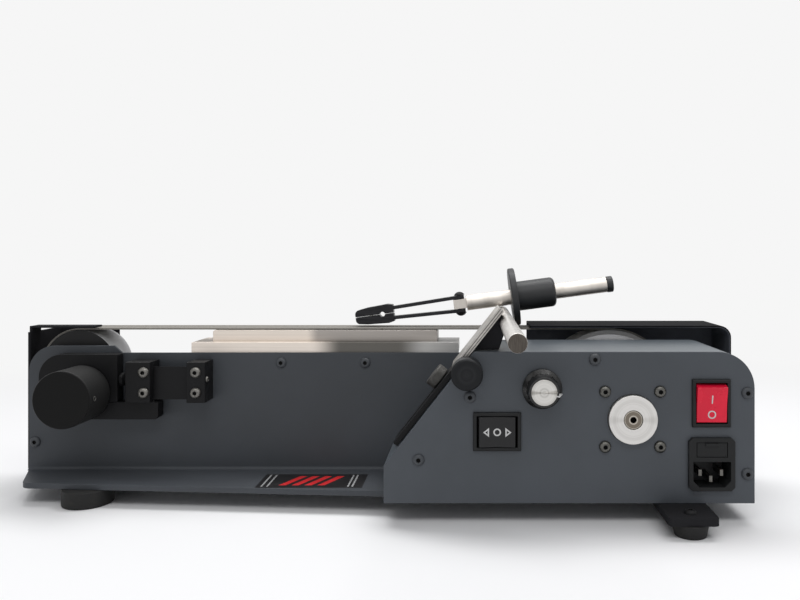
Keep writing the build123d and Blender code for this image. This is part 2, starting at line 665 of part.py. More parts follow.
def motor_bearings():
    """Front and rear ball bearings of the motor, with plain rings."""
    rear = SHEET + BELL_THICKNESS + MOTOR_LENGTH - MOTOR_WALL - BEARING_WIDTH
    bore = SHAFT_RADIUS + SHAFT_FIT
    starts = (BEARING_FRONT, rear)
    return Compound([ring_y(WHEEL_X, WHEEL_Z, BEARING_RADIUS, bore, y, y + BEARING_WIDTH) for y in starts])


def motor_rotor():
    """Rotor core on the shaft, clear of the can."""
    front = SHEET + BELL_THICKNESS + MOTOR_WALL
    back = front + MOTOR_LENGTH - 3 * MOTOR_WALL - BEARING_WIDTH
    return ring_y(WHEEL_X, WHEEL_Z, MOTOR_RADIUS - 2 * MOTOR_WALL, SHAFT_RADIUS, front, back)


def drive_shaft():
    """Motor shaft that runs through the wall to the driven wheel, with a centre hole at the front."""
    shaft = rod_y(WHEEL_X, WHEEL_Z, SHAFT_RADIUS, BOSS_CLEARANCE - BOSS_PROUD, WHEEL_BACK + SHAFT_END)
    shaft = chamfer(shaft.edges().filter_by(GeomType.CIRCLE), BOSS_CLEARANCE)
    return shaft - rod_y(WHEEL_X, WHEEL_Z, SCREW_RADIUS, -BOSS_PROUD, BELL_THICKNESS)


def drive_wheel():
    """Driven wheel: rim, web with round windows, hub."""
    rim = WHEEL_RADIUS - TYRE
    middle = (WHEEL_FRONT + WHEEL_BACK) / 2
    wheel = ring_y(WHEEL_X, WHEEL_Z, rim, rim - WHEEL_RIM, WHEEL_FRONT, WHEEL_BACK)
    wheel += rod_y(WHEEL_X, WHEEL_Z, rim - WHEEL_RIM / 2, middle - WHEEL_WEB / 2, middle + WHEEL_WEB / 2)
    wheel += rod_y(WHEEL_X, WHEEL_Z, WHEEL_HUB_RADIUS, WHEEL_FRONT, WHEEL_BACK)
    window_radius = (rim - WHEEL_RIM - WHEEL_HUB_RADIUS) / 3
    window_circle = (rim - WHEEL_RIM + WHEEL_HUB_RADIUS) / 2
    for index in range(WHEEL_WINDOWS):
        angle = 2 * pi * index / WHEEL_WINDOWS
        x = WHEEL_X + window_circle * cos(angle)
        z = WHEEL_Z + window_circle * sin(angle)
        wheel -= rod_y(x, z, window_radius, WHEEL_FRONT, WHEEL_BACK)
    return wheel - rod_y(WHEEL_X, WHEEL_Z, SHAFT_RADIUS, WHEEL_FRONT, WHEEL_BACK)


def wheel_tyre():
    """Rubber tyre of the driven wheel."""
    return ring_y(WHEEL_X, WHEEL_Z, WHEEL_RADIUS, WHEEL_RADIUS - TYRE, WHEEL_FRONT, WHEEL_BACK)


def idler_wheel():
    """Aluminium idler with a bearing seat at each side."""
    wheel = rod_y(IDLER_X, IDLER_Z, IDLER_RADIUS, WHEEL_FRONT, WHEEL_BACK)
    wheel -= rod_y(IDLER_X, IDLER_Z, IDLER_BEARING_RADIUS, WHEEL_FRONT, WHEEL_FRONT + IDLER_BEARING_WIDTH)
    wheel -= rod_y(IDLER_X, IDLER_Z, IDLER_BEARING_RADIUS, WHEEL_BACK - IDLER_BEARING_WIDTH, WHEEL_BACK)
    return wheel - rod_y(IDLER_X, IDLER_Z, AXLE_RADIUS + AXLE_WINDOW, WHEEL_FRONT, WHEEL_BACK)


def idler_bearings():
    """Two bearings that let the idler run on its axle."""
    bore = AXLE_RADIUS + SHAFT_FIT
    width = IDLER_BEARING_WIDTH
    starts = (WHEEL_FRONT, WHEEL_BACK - width)
    rings = [ring_y(IDLER_X, IDLER_Z, IDLER_BEARING_RADIUS, bore, y, y + width) for y in starts]
    return Compound(rings)


def idler_axle():
    """Fixed axle of the idler, with a retaining head at the back."""
    seat = WHEEL_BACK + BELT_GAP
    axle = rod_y(IDLER_X, IDLER_Z, AXLE_RADIUS, ARM_FRONT + SHEET, seat)
    return axle + rod_y(IDLER_X, IDLER_Z, AXLE_RADIUS + AXLE_WINDOW, seat, WHEEL_BACK + SHAFT_END)


def tension_block():
    """Sliding block that carries the idler axle and the tracking knob's screw."""
    bottom = RAIL_TOP + RAIL_GAP
    corners = [(BLOCK_LEFT, bottom), (BLOCK_RIGHT, bottom), (BLOCK_RIGHT, BLOCK_TOP), (BLOCK_LEFT, BLOCK_TOP)]
    face = outline(corners)
    face = fillet(face.vertices().sort_by_distance((BLOCK_LEFT, BLOCK_TOP, 0))[0], BLOCK_CORNER)
    body = prism(face, ARM_FRONT, ARM_BACK)
    body -= rod_y(IDLER_X, IDLER_Z, AXLE_RADIUS, ARM_FRONT + SHEET, ARM_BACK)
    body -= rod_y(KNOB_X, KNOB_Z, KNOB_SCREW_RADIUS + SHAFT_FIT, ARM_FRONT, ARM_BACK)
    middle = (ARM_FRONT + ARM_BACK) / 2
    start = BLOCK_RIGHT - SPRING_ROD_IN - TENSION_TRAVEL - RAIL_GAP
    return body - rod_x(middle, SPRING_ROD_Z, SPRING_ROD_RADIUS + SHAFT_FIT, start, BLOCK_RIGHT)


def tracking_arm():
    """Arm behind the leaf spring: rail, riser and guide rod of the tension block."""
    arm = block(RAIL_LEFT, RAIL_RIGHT, ARM_FRONT, ARM_BACK, RAIL_BOTTOM, RAIL_TOP)
    arm = fillet(arm.edges().filter_by(Axis.Y).group_by(Axis.Z)[0], AXLE_WINDOW)
    arm += block(RISER_LEFT, RISER_RIGHT, ARM_FRONT, ARM_BACK, RAIL_TOP, CLAMP_BAR_TOP)
    middle = (ARM_FRONT + ARM_BACK) / 2
    return arm + rod_x(middle, SPRING_ROD_Z, SPRING_ROD_RADIUS, BLOCK_RIGHT - SPRING_ROD_IN, RISER_LEFT)


def tension_springs():
    """Stack of conical spring washers on the guide rod."""
    pitch = (RISER_LEFT - BLOCK_RIGHT) / SPRING_COUNT
    cone = pitch - SPRING_THICKNESS
    inner = SPRING_ROD_RADIUS + RAIL_GAP
    middle = (ARM_FRONT + ARM_BACK) / 2
    washers = []
    for index in range(SPRING_COUNT):
        rise = cone if index % 2 else 0
        drop = cone - rise
        start = BLOCK_RIGHT + index * pitch
        section = outline([
            (start + rise, inner), (start + rise + SPRING_THICKNESS, inner),
            (start + drop + SPRING_THICKNESS, SPRING_RADIUS), (start + drop, SPRING_RADIUS),
        ])
        washers.append(Pos(0, middle, SPRING_ROD_Z) * revolve(section, Axis.X))
    return Compound(washers)


def clamp_bar(x0, x1):
    """Bar that clamps one end of the leaf spring."""
    bar = block(x0, x1, CLAMP_FRONT, LEAF_FRONT, CLAMP_BAR_BOTTOM, CLAMP_BAR_TOP)
    return chamfer(bar.edges().group_by(Axis.Y)[0], BOSS_CLEARANCE)


def hinge_block():
    """Fixed spacer that holds the leaf spring off the wall."""
    return block(HINGE_LEFT, HINGE_RIGHT, ARM_FRONT, WALL_FRONT, CLAMP_BAR_BOTTOM, CLAMP_BAR_TOP)


def leaf_spring():
    """Thin steel leaf that the tracking arm bends about."""
    return block(RISER_LEFT, HINGE_RIGHT, LEAF_FRONT, ARM_FRONT, LEAF_BOTTOM, LEAF_TOP)


def leaf_screws(x):
    """Two screws through a clamp bar and the leaf."""
    return [button_screw(x, z, CLAMP_FRONT, LEAF_SCREW_LENGTH) for z in LEAF_SCREW_Z]


def tracking_knob():
    """Large tracking knob with its screw, which bears on the wall."""
    back = ARM_FRONT - KNOB_GAP
    knob = rod_y(KNOB_X, KNOB_Z, KNOB_RADIUS, back - KNOB_LENGTH, back)
    knob = fillet(knob.edges().filter_by(GeomType.CIRCLE), KNOB_ROUND)
    return knob + rod_y(KNOB_X, KNOB_Z, KNOB_SCREW_RADIUS, back, WALL_FRONT - RAIL_GAP)


def rocker_housing(depth):
    """Switch body with a raised bezel and a well for its rocker, long side along X, face at Y = 0."""
    half_x = ROCKER_LONG / 2
    half_z = ROCKER_SHORT / 2
    bezel = block(-half_x, half_x, -BEZEL_PROUD, 0, -half_z, half_z)
    bezel = chamfer(bezel.edges().group_by(Axis.Y)[0], BEZEL_PROUD / 3)
    body = block(-half_x + SWITCH_INSET, half_x - SWITCH_INSET, 0, depth, -half_z + SWITCH_INSET,
                 half_z - SWITCH_INSET)
    well = block(-half_x + BEZEL_RIM, half_x - BEZEL_RIM, -BEZEL_PROUD, depth / 2, -half_z + BEZEL_RIM,
                 half_z - BEZEL_RIM)
    wall = half_z - SWITCH_INSET
    seat = rod_z(0, ROCKER_PIVOT_DEPTH, TRUNNION_RADIUS + SHAFT_FIT, -wall, wall)
    return bezel + body - well - seat


def rocker(dish, proud):
    """Rocker that turns about an upright axis, long side along X, pivot behind the face at Y = 0."""
    half_x = ROCKER_LONG / 2 - BEZEL_RIM - ROCKER_CLEARANCE
    half_z = ROCKER_SHORT / 2 - BEZEL_RIM - ROCKER_CLEARANCE
    section = outline([
        (-half_x + BEZEL_RIM / 2, -proud), (0, dish - proud), (half_x - BEZEL_RIM / 2, -proud),
        (half_x, ROCKER_PIVOT_DEPTH), (half_x / 2, 2 * ROCKER_PIVOT_DEPTH),
        (-half_x / 2, 2 * ROCKER_PIVOT_DEPTH), (-half_x, ROCKER_PIVOT_DEPTH),
    ])
    reach = half_z + TRUNNION_LENGTH
    pivot = rod_z(0, ROCKER_PIVOT_DEPTH, TRUNNION_RADIUS, -reach, reach)
    return Pos(0, 0, -half_z) * extrude(section, 2 * half_z) + pivot


def inlet_body():
    """Mains inlet: flange, body, pin socket with two cut corners and fuse pocket."""
    half_w = INLET_WIDTH / 2
    half_h = INLET_HEIGHT / 2
    flange = block(-half_w, half_w, -INLET_PROUD, 0, -half_h, half_h)
    flange = chamfer(flange.edges().filter_by(Axis.Y), BEZEL_RIM)
    body = flange + block(-half_w + SWITCH_INSET, half_w - SWITCH_INSET, 0, INLET_DEPTH,
                          -half_h + SWITCH_INSET, half_h - SWITCH_INSET)
    socket = block(-SOCKET_WIDTH / 2, SOCKET_WIDTH / 2, -INLET_PROUD, SOCKET_DEPTH - INLET_PROUD,
                   -SOCKET_DROP - SOCKET_HEIGHT / 2, -SOCKET_DROP + SOCKET_HEIGHT / 2)
    socket = chamfer(socket.edges().filter_by(Axis.Y).group_by(Axis.Z)[0], SOCKET_CORNER)
    return Pos(INLET_X, 0, INLET_Z) * (body - socket - fuse_block(FUSE_CLEARANCE))


def fuse_block(extra):
    """Fuse drawer, or the pocket for it with some clearance all round."""
    middle = (INLET_HEIGHT / 2 + SOCKET_HEIGHT / 2 - SOCKET_DROP) / 2
    half_w = SOCKET_WIDTH / 2 - BEZEL_RIM + extra
    half_h = FUSE_HEIGHT / 2 + extra
    return block(-half_w, half_w, -INLET_PROUD, FUSE_LENGTH + extra, middle - half_h, middle + half_h)


def fuse_drawer():
    """Pull-out fuse drawer with a finger lip."""
    drawer = fuse_block(0)
    box = drawer.bounding_box()
    lip = block(-FUSE_HEIGHT / 2, FUSE_HEIGHT / 2, -INLET_PROUD - FUSE_LIP, -INLET_PROUD,
                box.max.Z - 2 * FUSE_LIP, box.max.Z)
    return Pos(INLET_X, 0, INLET_Z) * (drawer + lip)


def inlet_pins():
    """Three flat contact pins that stand in the socket."""
    back = SOCKET_DEPTH - INLET_PROUD
    pins = []
    for x, z in INLET_PIN_PLACES:
        pin = block(-PIN_THICK / 2, PIN_THICK / 2, back - PIN_LENGTH, back, -PIN_THICK, PIN_THICK)
        pins.append(Pos(INLET_X + x, 0, INLET_Z - SOCKET_DROP + z) * pin)
    return Compound(pins)


def potentiometer():
    """Speed potentiometer behind the panel."""
    body = rod_y(SPEED_X, SPEED_Z, POT_RADIUS, SHEET, SHEET + POT_DEPTH)
    return body - rod_y(SPEED_X, SPEED_Z, POT_SHAFT_RADIUS + SHAFT_FIT, SHEET, SHEET + POT_DEPTH)


def speed_knob():
    """Fluted speed knob with a wide skirt; its stem runs into the potentiometer."""
    grip = (SPEED_CAP_RADIUS + SPEED_SKIRT_RADIUS) / 2
    knob = turned_y([
        (0, -BOSS_CLEARANCE), (SPEED_SKIRT_RADIUS, -BOSS_CLEARANCE),
        (SPEED_SKIRT_RADIUS, -SPEED_SKIRT_HEIGHT / 2), (grip, -SPEED_SKIRT_HEIGHT),
        (grip - GRIP_TAPER, -SPEED_HEIGHT), (0, -SPEED_HEIGHT),
    ], SPEED_X, SPEED_Z)
    for index in range(SPEED_FLUTES):
        angle = 2 * pi * index / SPEED_FLUTES
        x = SPEED_X + (grip + FLUTE_RADIUS / 2) * cos(angle)
        z = SPEED_Z + (grip + FLUTE_RADIUS / 2) * sin(angle)
        knob -= rod_y(x, z, FLUTE_RADIUS, -SPEED_HEIGHT, -SPEED_SKIRT_HEIGHT)
    return knob + rod_y(SPEED_X, SPEED_Z, POT_SHAFT_RADIUS, -BOSS_CLEARANCE, SHEET + POT_DEPTH)


def speed_knob_cap():
    """Bright cap on the speed knob with a raised pointer line."""
    cap = rod_y(SPEED_X, SPEED_Z, SPEED_CAP_RADIUS, -SPEED_HEIGHT - CAP_SHEET, -SPEED_HEIGHT)
    pointer = block(SPEED_X, SPEED_X + SPEED_CAP_RADIUS, -SPEED_HEIGHT - 2 * CAP_SHEET,
                    -SPEED_HEIGHT - CAP_SHEET, SPEED_Z - CAP_SHEET / 2, SPEED_Z + CAP_SHEET / 2)
    return cap + pointer


def angle_plate():
    """Bright steel plate that slides up the sloped side."""
    top = SLIDE_LIFT + ANGLE_PLATE_THICKNESS
    plate = slope_bar(ANGLE_PLATE_START, ANGLE_PLATE_END, SLIDE_LIFT, top, 0, ANGLE_PLATE_WIDTH)
    return plate - tongue_blank()


def tongue_blank():
    """The rack tongue before its teeth and slot are cut."""
    return slope_bar(TONGUE_START, TONGUE_END, SLIDE_LIFT, SLIDE_LIFT + TONGUE_THICKNESS, TONGUE_FRONT,
                     TONGUE_FRONT + TONGUE_WIDTH)


def rack_tongue():
    """Tongue with rack teeth underneath and a slot for the lock knob."""
    tongue = tongue_blank()
    tongue -= slope_bar(SLOT_START, LOCK_ALONG + SLOT_HALF, 0, SLIDE_LIFT + TONGUE_THICKNESS,
                        LOCK_IN - SLOT_HALF, LOCK_IN + SLOT_HALF)
    pitch = pi * PINION_MODULE
    first = -int(SLIDE_TRAVEL / pitch) - RACK_SPARE_GAPS
    floor = RACK_PITCH_LINE + RACK_CLEARANCE
    for index in range(first, RACK_SPARE_GAPS):
        middle = ANGLE_KNOB_ALONG + index * pitch
        gap = outline([
            slope_point(middle - RACK_GAP_MOUTH / 2, 0), slope_point(middle + RACK_GAP_MOUTH / 2, 0),
            slope_point(middle + RACK_GAP_FLOOR / 2, floor),
            slope_point(middle - RACK_GAP_FLOOR / 2, floor),
        ])
        tongue -= prism(gap, PINION_SET_IN - SLIDE_LIFT, PINION_SET_IN + PINION_WIDTH + SLIDE_LIFT)
    return tongue


def rack_pinion():
    """Pinion and shaft of the angle knob."""
    x, z = slope_point(ANGLE_KNOB_ALONG, ANGLE_KNOB_NORMAL)
    root = PITCH_RADIUS - PINION_DEDENDUM
    tip = PITCH_RADIUS + PINION_ADDENDUM
    gear = Circle(root)
    tooth = outline([
        (0, -PINION_ROOT_WIDTH / 2), (root, -PINION_ROOT_WIDTH / 2), (tip, -PINION_TIP_WIDTH / 2),
        (tip, PINION_TIP_WIDTH / 2), (root, PINION_ROOT_WIDTH / 2), (0, PINION_ROOT_WIDTH / 2),
    ])
    for index in range(PINION_TEETH):
        gear += Rot(0, 0, SLOPE_ANGLE + 90 + 360 * index / PINION_TEETH) * tooth
    gear = Pos(x, 0, z) * prism(gear, PINION_SET_IN, PINION_SET_IN + PINION_WIDTH)
    return gear + rod_y(x, z, PINION_SHAFT_RADIUS, -ANGLE_KNOB_LENGTH / 2, PINION_SET_IN)


def angle_knob():
    """Turned knob that raises and lowers the angle slide."""
    x, z = slope_point(ANGLE_KNOB_ALONG, ANGLE_KNOB_NORMAL)
    knob = rod_y(x, z, ANGLE_KNOB_RADIUS, -ANGLE_KNOB_LENGTH, -BOSS_CLEARANCE)
    knob = chamfer(knob.edges().group_by(Axis.Y)[0], KNOB_ROUND)
    return knob - rod_y(x, z, PINION_SHAFT_RADIUS, -ANGLE_KNOB_LENGTH / 2, 0)


def lock_knob():
    """Lock knob and stud that clamp the tongue."""
    seat = SLIDE_LIFT + TONGUE_THICKNESS + RAIL_GAP
    knob = slope_rod(LOCK_ALONG, LOCK_IN, LOCK_RADIUS, seat, seat + LOCK_HEIGHT)
    knob = fillet(knob.edges().filter_by(GeomType.CIRCLE), KNOB_ROUND)
    return knob + slope_rod(LOCK_ALONG, LOCK_IN, LOCK_STUD_RADIUS, seat - LOCK_STUD_LENGTH, seat)


def bar_bracket():
    """Black bracket under the angle plate that holds the guide bar."""
    floor = BOX_TOP + BRACKET_FLOOR_GAP
    start = (floor - SLOPE_FOOT - SLIDE_LIFT * SLOPE_N[1]) / SLOPE_U[1]
    corner = slope_point(start, SLIDE_LIFT)
    tip = slope_point(ANGLE_PLATE_END - BRACKET_TIP_DROP, SLIDE_LIFT)
    web = outline([corner, (corner[0] + BRACKET_FOOT, floor), (BAR_X, BAR_Z), tip])
    back = TONGUE_FRONT + TONGUE_WIDTH
    bracket = prism(web, TONGUE_FRONT, back)
    bracket -= slope_bar(0, 2 * ANGLE_PLATE_END, SLIDE_LIFT, 2 * ANGLE_PLATE_THICKNESS, TONGUE_FRONT, back)
    return bracket - rod_y(BAR_X, BAR_Z, BAR_RADIUS + SHAFT_FIT, TONGUE_FRONT, back)


def guide_bar():
    """Ground bar that the clamp arm rests and slides on."""
    bar = rod_y(BAR_X, BAR_Z, BAR_RADIUS, BAR_FRONT, BAR_REAR)
    return chamfer(bar.edges().filter_by(GeomType.CIRCLE), BOSS_CLEARANCE)


def arm_tube():
    """Bright tube of the clamp arm."""
    return arm_rod(TUBE_LEFT, TUBE_RIGHT, TUBE_RADIUS) - arm_rod(TUBE_LEFT, TUBE_RIGHT, TUBE_BORE)


def tube_cap():
    """Black cap that plugs the tube's end."""
    cap = arm_rod(TUBE_RIGHT, TUBE_RIGHT + CAP_LENGTH, CAP_RADIUS)
    return cap + arm_rod(TUBE_RIGHT - CAP_LENGTH, TUBE_RIGHT, TUBE_BORE)


def stop_disc():
    """Disc on the arm that stops it against the guide bar."""
    disc = arm_rod(STOP_START, STOP_START + STOP_THICKNESS, STOP_RADIUS)
    disc = fillet(disc.edges().filter_by(GeomType.CIRCLE), KNOB_ROUND)
    return disc - arm_rod(STOP_START, STOP_START + STOP_THICKNESS, TUBE_RADIUS)


def handle_sleeve():
    """Black grip sleeve next to the stop disc."""
    start = STOP_START + STOP_THICKNESS
    sleeve = arm_rod(start, start + HANDLE_LENGTH, HANDLE_RADIUS)
    sleeve = fillet(sleeve.edges().filter_by(GeomType.CIRCLE).sort_by(Axis.X)[-1], HANDLE_ROUND)
    return sleeve - arm_rod(start, start + HANDLE_LENGTH, TUBE_RADIUS)


def clevis_block():
    """Bright block at the tube's end that both jaw strips are screwed to."""
    half = CLEVIS_HEIGHT / 2
    body = arm_bar(TUBE_LEFT - CLEVIS_LENGTH, TUBE_LEFT, -half, half, CLEVIS_WIDTH / 2)
    body += arm_rod(TUBE_LEFT, TUBE_LEFT + CLEVIS_SPIGOT, TUBE_BORE - SHAFT_FIT)
    return body - arm_post(STRIP_SCREW_ALONG, CLAMP_SCREW_RADIUS, -half, half)


def strip_screws():
    """Dome-head screws of the two jaw strips."""
    screws = []
    for side in (-1, 1):
        seat = side * (CLEVIS_HEIGHT / 2 + STRIP_THICKNESS + 2 * STRIP_GAP)
        head = dome(STRIP_SCREW_ALONG, seat, side)
        low, high = sorted((side * STRIP_GAP, seat))
        screws.append(head + arm_post(STRIP_SCREW_ALONG, CLAMP_SCREW_RADIUS, low, high))
    return Compound(screws)


def dome(along, seat, side):
    """Domed screw head on the clamp arm, facing up or down."""
    radius = (DOME_RADIUS ** 2 + DOME_HEIGHT ** 2) / (2 * DOME_HEIGHT)
    half = asin(min(1.0, DOME_RADIUS / radius)) / 2
    shoulder = (radius * sin(half), DOME_HEIGHT - radius + radius * cos(half))
    profile = make_face([
        Line((0, 0), (DOME_RADIUS, 0)),
        ThreePointArc((DOME_RADIUS, 0), shoulder, (0, DOME_HEIGHT)),
        Line((0, DOME_HEIGHT), (0, 0)),
    ])
    x, z = arm_point(along, seat)
    seat_plane = Plane((x, ARM_PLANE_Y, z), (0, 1, 0), (side * ARM_N[0], 0, side * ARM_N[1]))
    return seat_plane.location * Rot(90, 0, 0) * revolve(profile, Axis.Y)


def jaw(side):
    """One flat strip with its clamping jaw; side is 1 above the arm's axis and -1 below."""
    half = CLEVIS_HEIGHT / 2 + STRIP_GAP
    far = half + STRIP_THICKNESS
    bend = TUBE_LEFT - CLEVIS_LENGTH - STRIP_GAP
    end = TUBE_LEFT - STRIP_END_IN
    low = JAW_MID_HEIGHT - STRIP_THICKNESS - JAW_STRIP_INSET
    high = low + STRIP_THICKNESS
    strip = [(end, half), (bend, half), (JAW_RIGHT, low), (JAW_RIGHT, high), (bend, far), (end, far)]
    body = [
        (JAW_RIGHT, JAW_SPLIT / 2), (JAW_LEFT, JAW_SPLIT / 2), (JAW_LEFT, JAW_TIP_HEIGHT),
        (JAW_LEFT + JAW_NOSE, JAW_MID_HEIGHT), (JAW_RIGHT - JAW_NOSE / 2, JAW_HALF_HEIGHT),
        (JAW_RIGHT, JAW_MID_HEIGHT),
    ]
    strip_face = outline([arm_point(a, side * n) for a, n in strip])
    body_face = outline([arm_point(a, side * n) for a, n in body])
    tip = arm_point(JAW_LEFT, side * JAW_TIP_HEIGHT)
    body_face = fillet(body_face.vertices().sort_by_distance((*tip, 0))[0], JAW_ROUND)
    front = ARM_PLANE_Y
    solid = prism(strip_face, front - STRIP_WIDTH / 2, front + STRIP_WIDTH / 2)
    solid += prism(body_face, front - JAW_WIDTH / 2, front + JAW_WIDTH / 2)
    eye = arm_point(JAW_RIGHT - JAW_EYE_FROM_RIGHT, 0)
    solid -= rod_y(*eye, JAW_EYE_RADIUS, front - JAW_WIDTH, front + JAW_WIDTH)
    low, high = sorted((0, side * 2 * JAW_HALF_HEIGHT))
    hole = CLAMP_SCREW_RADIUS if side < 0 else CLAMP_SCREW_HOLE
    return solid - arm_post(STRIP_SCREW_ALONG, hole, low, high)


def clamp_screw():
    """Screw that draws the jaws together, sunk in the upper jaw."""
    along = JAW_LEFT + CLAMP_SCREW_FROM_LEFT
    head = arm_post(along, CLAMP_HEAD_RADIUS, CLAMP_HEAD_SINK, CLAMP_HEAD_TOP)
    return head + arm_post(along, CLAMP_SCREW_RADIUS, -CLAMP_HEAD_SINK, CLAMP_HEAD_SINK)


def upper_jaw():
    """Upper strip and jaw with the clamp screw's counterbore."""
    along = JAW_LEFT + CLAMP_SCREW_FROM_LEFT
    body = jaw(1) - arm_post(along, CLAMP_HEAD_RADIUS + SHAFT_FIT, CLAMP_HEAD_SINK, 2 * JAW_HALF_HEIGHT)
    return body - arm_post(along, CLAMP_SCREW_RADIUS + SHAFT_FIT, 0, JAW_HALF_HEIGHT)


def lower_jaw():
    """Lower strip and jaw with a clear hole for the clamp screw."""
    along = JAW_LEFT + CLAMP_SCREW_FROM_LEFT
    return jaw(-1) - arm_post(along, CLAMP_SCREW_HOLE, -CLAMP_HEAD_SINK - SLIDE_LIFT, 0)


def large_feet():
    """Round rubber feet under the tray and the pan."""
    feet = []
    for y in (BIG_FOOT_FRONT, REAR - FOOT_REAR_INSET):
        foot = rod_z(BIG_FOOT_X, y, BIG_FOOT_RADIUS, 0, BASE_Z - TRAY_LIP)
        foot = fillet(foot.edges().group_by(Axis.Z)[0], KNOB_ROUND)
        feet.append(foot + rod_z(BIG_FOOT_X, y, BIG_FOOT_NECK, BASE_Z - TRAY_LIP, BASE_Z))
    return Compound(feet)


def foot_bar():
    """Flat bar under the box that carries the small feet."""
    half = FOOT_BAR_WIDTH / 2
    bar = block(FOOT_BAR_X - half, FOOT_BAR_X + half, FOOT_BAR_FRONT, REAR,
                BASE_Z - FOOT_BAR_THICKNESS, BASE_Z)
    return fillet(bar.edges().filter_by(Axis.Z), AXLE_WINDOW)


def small_feet():
    """Tapered rubber feet at both ends of the foot bar."""
    height = BASE_Z - FOOT_BAR_THICKNESS
    cone = Cone(SMALL_FOOT_TIP, SMALL_FOOT_RADIUS, height)
    places = (FOOT_BAR_FRONT + FOOT_BAR_INSET, REAR - FOOT_BAR_INSET)
    return Compound([Pos(SMALL_FOOT_X, y, height / 2) * cone for y in places])


def power_supply():
    """Power supply on the floor of the box."""
    return block(SUPPLY_LEFT, SUPPLY_RIGHT, SUPPLY_MARGIN, WALL_FRONT - SUPPLY_MARGIN,
                 FLOOR_Z, FLOOR_Z + SUPPLY_HEIGHT)


def controller_board():
    """Speed controller board on four standoffs in front of the wall."""
    back = WALL_FRONT - STANDOFF
    board = block(BOARD_LEFT, BOARD_RIGHT, back - BOARD_THICKNESS, back, BOARD_BOTTOM, BOARD_TOP)
    for x in (BOARD_LEFT + STANDOFF, BOARD_RIGHT - STANDOFF):
        for z in (BOARD_BOTTOM + STANDOFF, BOARD_TOP - STANDOFF):
            board += rod_y(x, z, STANDOFF_RADIUS, back, WALL_FRONT)
    return board


def button_screws():
    """Button-head screws of the panel, wall, motor, foot bar and the leaf spring's fixed end."""
    half = MOTOR_SCREW_SQUARE / 2
    screws = [button_screw(x, z, 0) for x, z in PANEL_SCREWS]
    screws += [button_screw(x, z, WALL_FRONT) for x, z in WALL_SCREWS]
    for x in (WHEEL_X - half, WHEEL_X + half):
        for z in (WHEEL_Z - half, WHEEL_Z + half):
            screws.append(button_screw(x, z, 0, SHEET + BELL_THICKNESS))
    screws += leaf_screws((HINGE_LEFT + HINGE_RIGHT) / 2)
    upright = Pos(SMALL_FOOT_X, FOOT_BAR_FRONT + FOOT_BAR_INSET, BASE_Z) * Rot(-90, 0, 0)
    screws.append(upright * button_screw(0, 0, 0, FOOT_BAR_THICKNESS))
    return Compound(screws)


def make_nodes():
    """Every piece by its name, in the modelling frame."""
    screws = button_screws()
    arm_screws = Compound(leaf_screws(RISER_RIGHT - LEAF_SCREW_INSET))
    leaf = leaf_spring() - screws - arm_screws
    power_turn = Pos(POWER_X, 0, POWER_Z) * Rot(0, 90, 0)
    power_rest = Pos(POWER_X, ROCKER_PIVOT_DEPTH, POWER_Z) * Rot(POWER_TILT, 0, 0)
    power_rest = power_rest * Pos(0, -ROCKER_PIVOT_DEPTH, 0) * Rot(0, 90, 0)
    direction_turn = Pos(DIRECTION_X, 0, DIRECTION_Z)
    return {
        "main_chassis": main_chassis() - screws,
        "belt_pan": belt_pan(),
        "control_box_shell": control_box_shell() - screws,
        "front_panel": front_panel() - screws,
        "wheel_guard": wheel_guard(),
        "idler_guard": idler_guard(),
        "platen_base": platen_base() - screws,
        "platen": platen(),
        "abrasive_belt": abrasive_belt(),
        "motor_can": motor_can() - screws,
        "motor_front_bell": motor_front_bell() - screws,
        "motor_bearings": motor_bearings(),
        "power_supply": power_supply(),
        "controller_board": controller_board(),
        "potentiometer": potentiometer(),
        "power_switch_body": power_turn * rocker_housing(SWITCH_DEPTH),
        "direction_switch_body": direction_turn * rocker_housing(SWITCH_DEPTH),
        "inlet_body": inlet_body(),
        "inlet_pins": inlet_pins(),
        "button_screws": screws,
        "foot_bar": foot_bar() - screws,
        "large_feet": large_feet(),
        "small_feet": small_feet(),
        "hinge_block": hinge_block() - screws,
        "hinge_clamp": clamp_bar(HINGE_LEFT, HINGE_RIGHT) - screws,
        "leaf_spring": leaf,
        "drive_shaft": drive_shaft(),
        "motor_rotor": motor_rotor(),
        "drive_wheel": drive_wheel(),
        "wheel_tyre": wheel_tyre(),
        "idler_wheel": idler_wheel(),
        "idler_bearings": idler_bearings(),
        "tension_block": tension_block(),
        "idler_axle": idler_axle(),
        "tracking_arm": tracking_arm() - arm_screws,
        "tension_springs": tension_springs(),
        "arm_clamp": clamp_bar(RISER_LEFT, RISER_RIGHT) - arm_screws,
        "arm_screws": arm_screws,
        "tracking_knob": tracking_knob(),
        "angle_plate": angle_plate(),
        "rack_tongue": rack_tongue(),
        "bar_bracket": bar_bracket(),
        "rack_pinion": rack_pinion(),
        "angle_knob": angle_knob(),
        "lock_knob": lock_knob(),
        "guide_bar": guide_bar(),
        "arm_tube": arm_tube(),
        "tube_cap": tube_cap(),
        "stop_disc": stop_disc(),
        "handle_sleeve": handle_sleeve(),
        "clevis_block": clevis_block(),
        "strip_screws": strip_screws(),
        "lower_jaw": lower_jaw(),
        "upper_jaw": upper_jaw(),
        "clamp_screw": clamp_screw(),
        "speed_knob": speed_knob(),
        "speed_knob_cap": speed_knob_cap(),
        "direction_rocker": direction_turn * rocker(DIRECTION_DISH, BEZEL_PROUD + BEZEL_RIM / 2),
        "power_rocker": power_rest * rocker(POWER_DISH, BEZEL_PROUD + BEZEL_RIM / 2),
        "fuse_drawer": fuse_drawer(),
    }


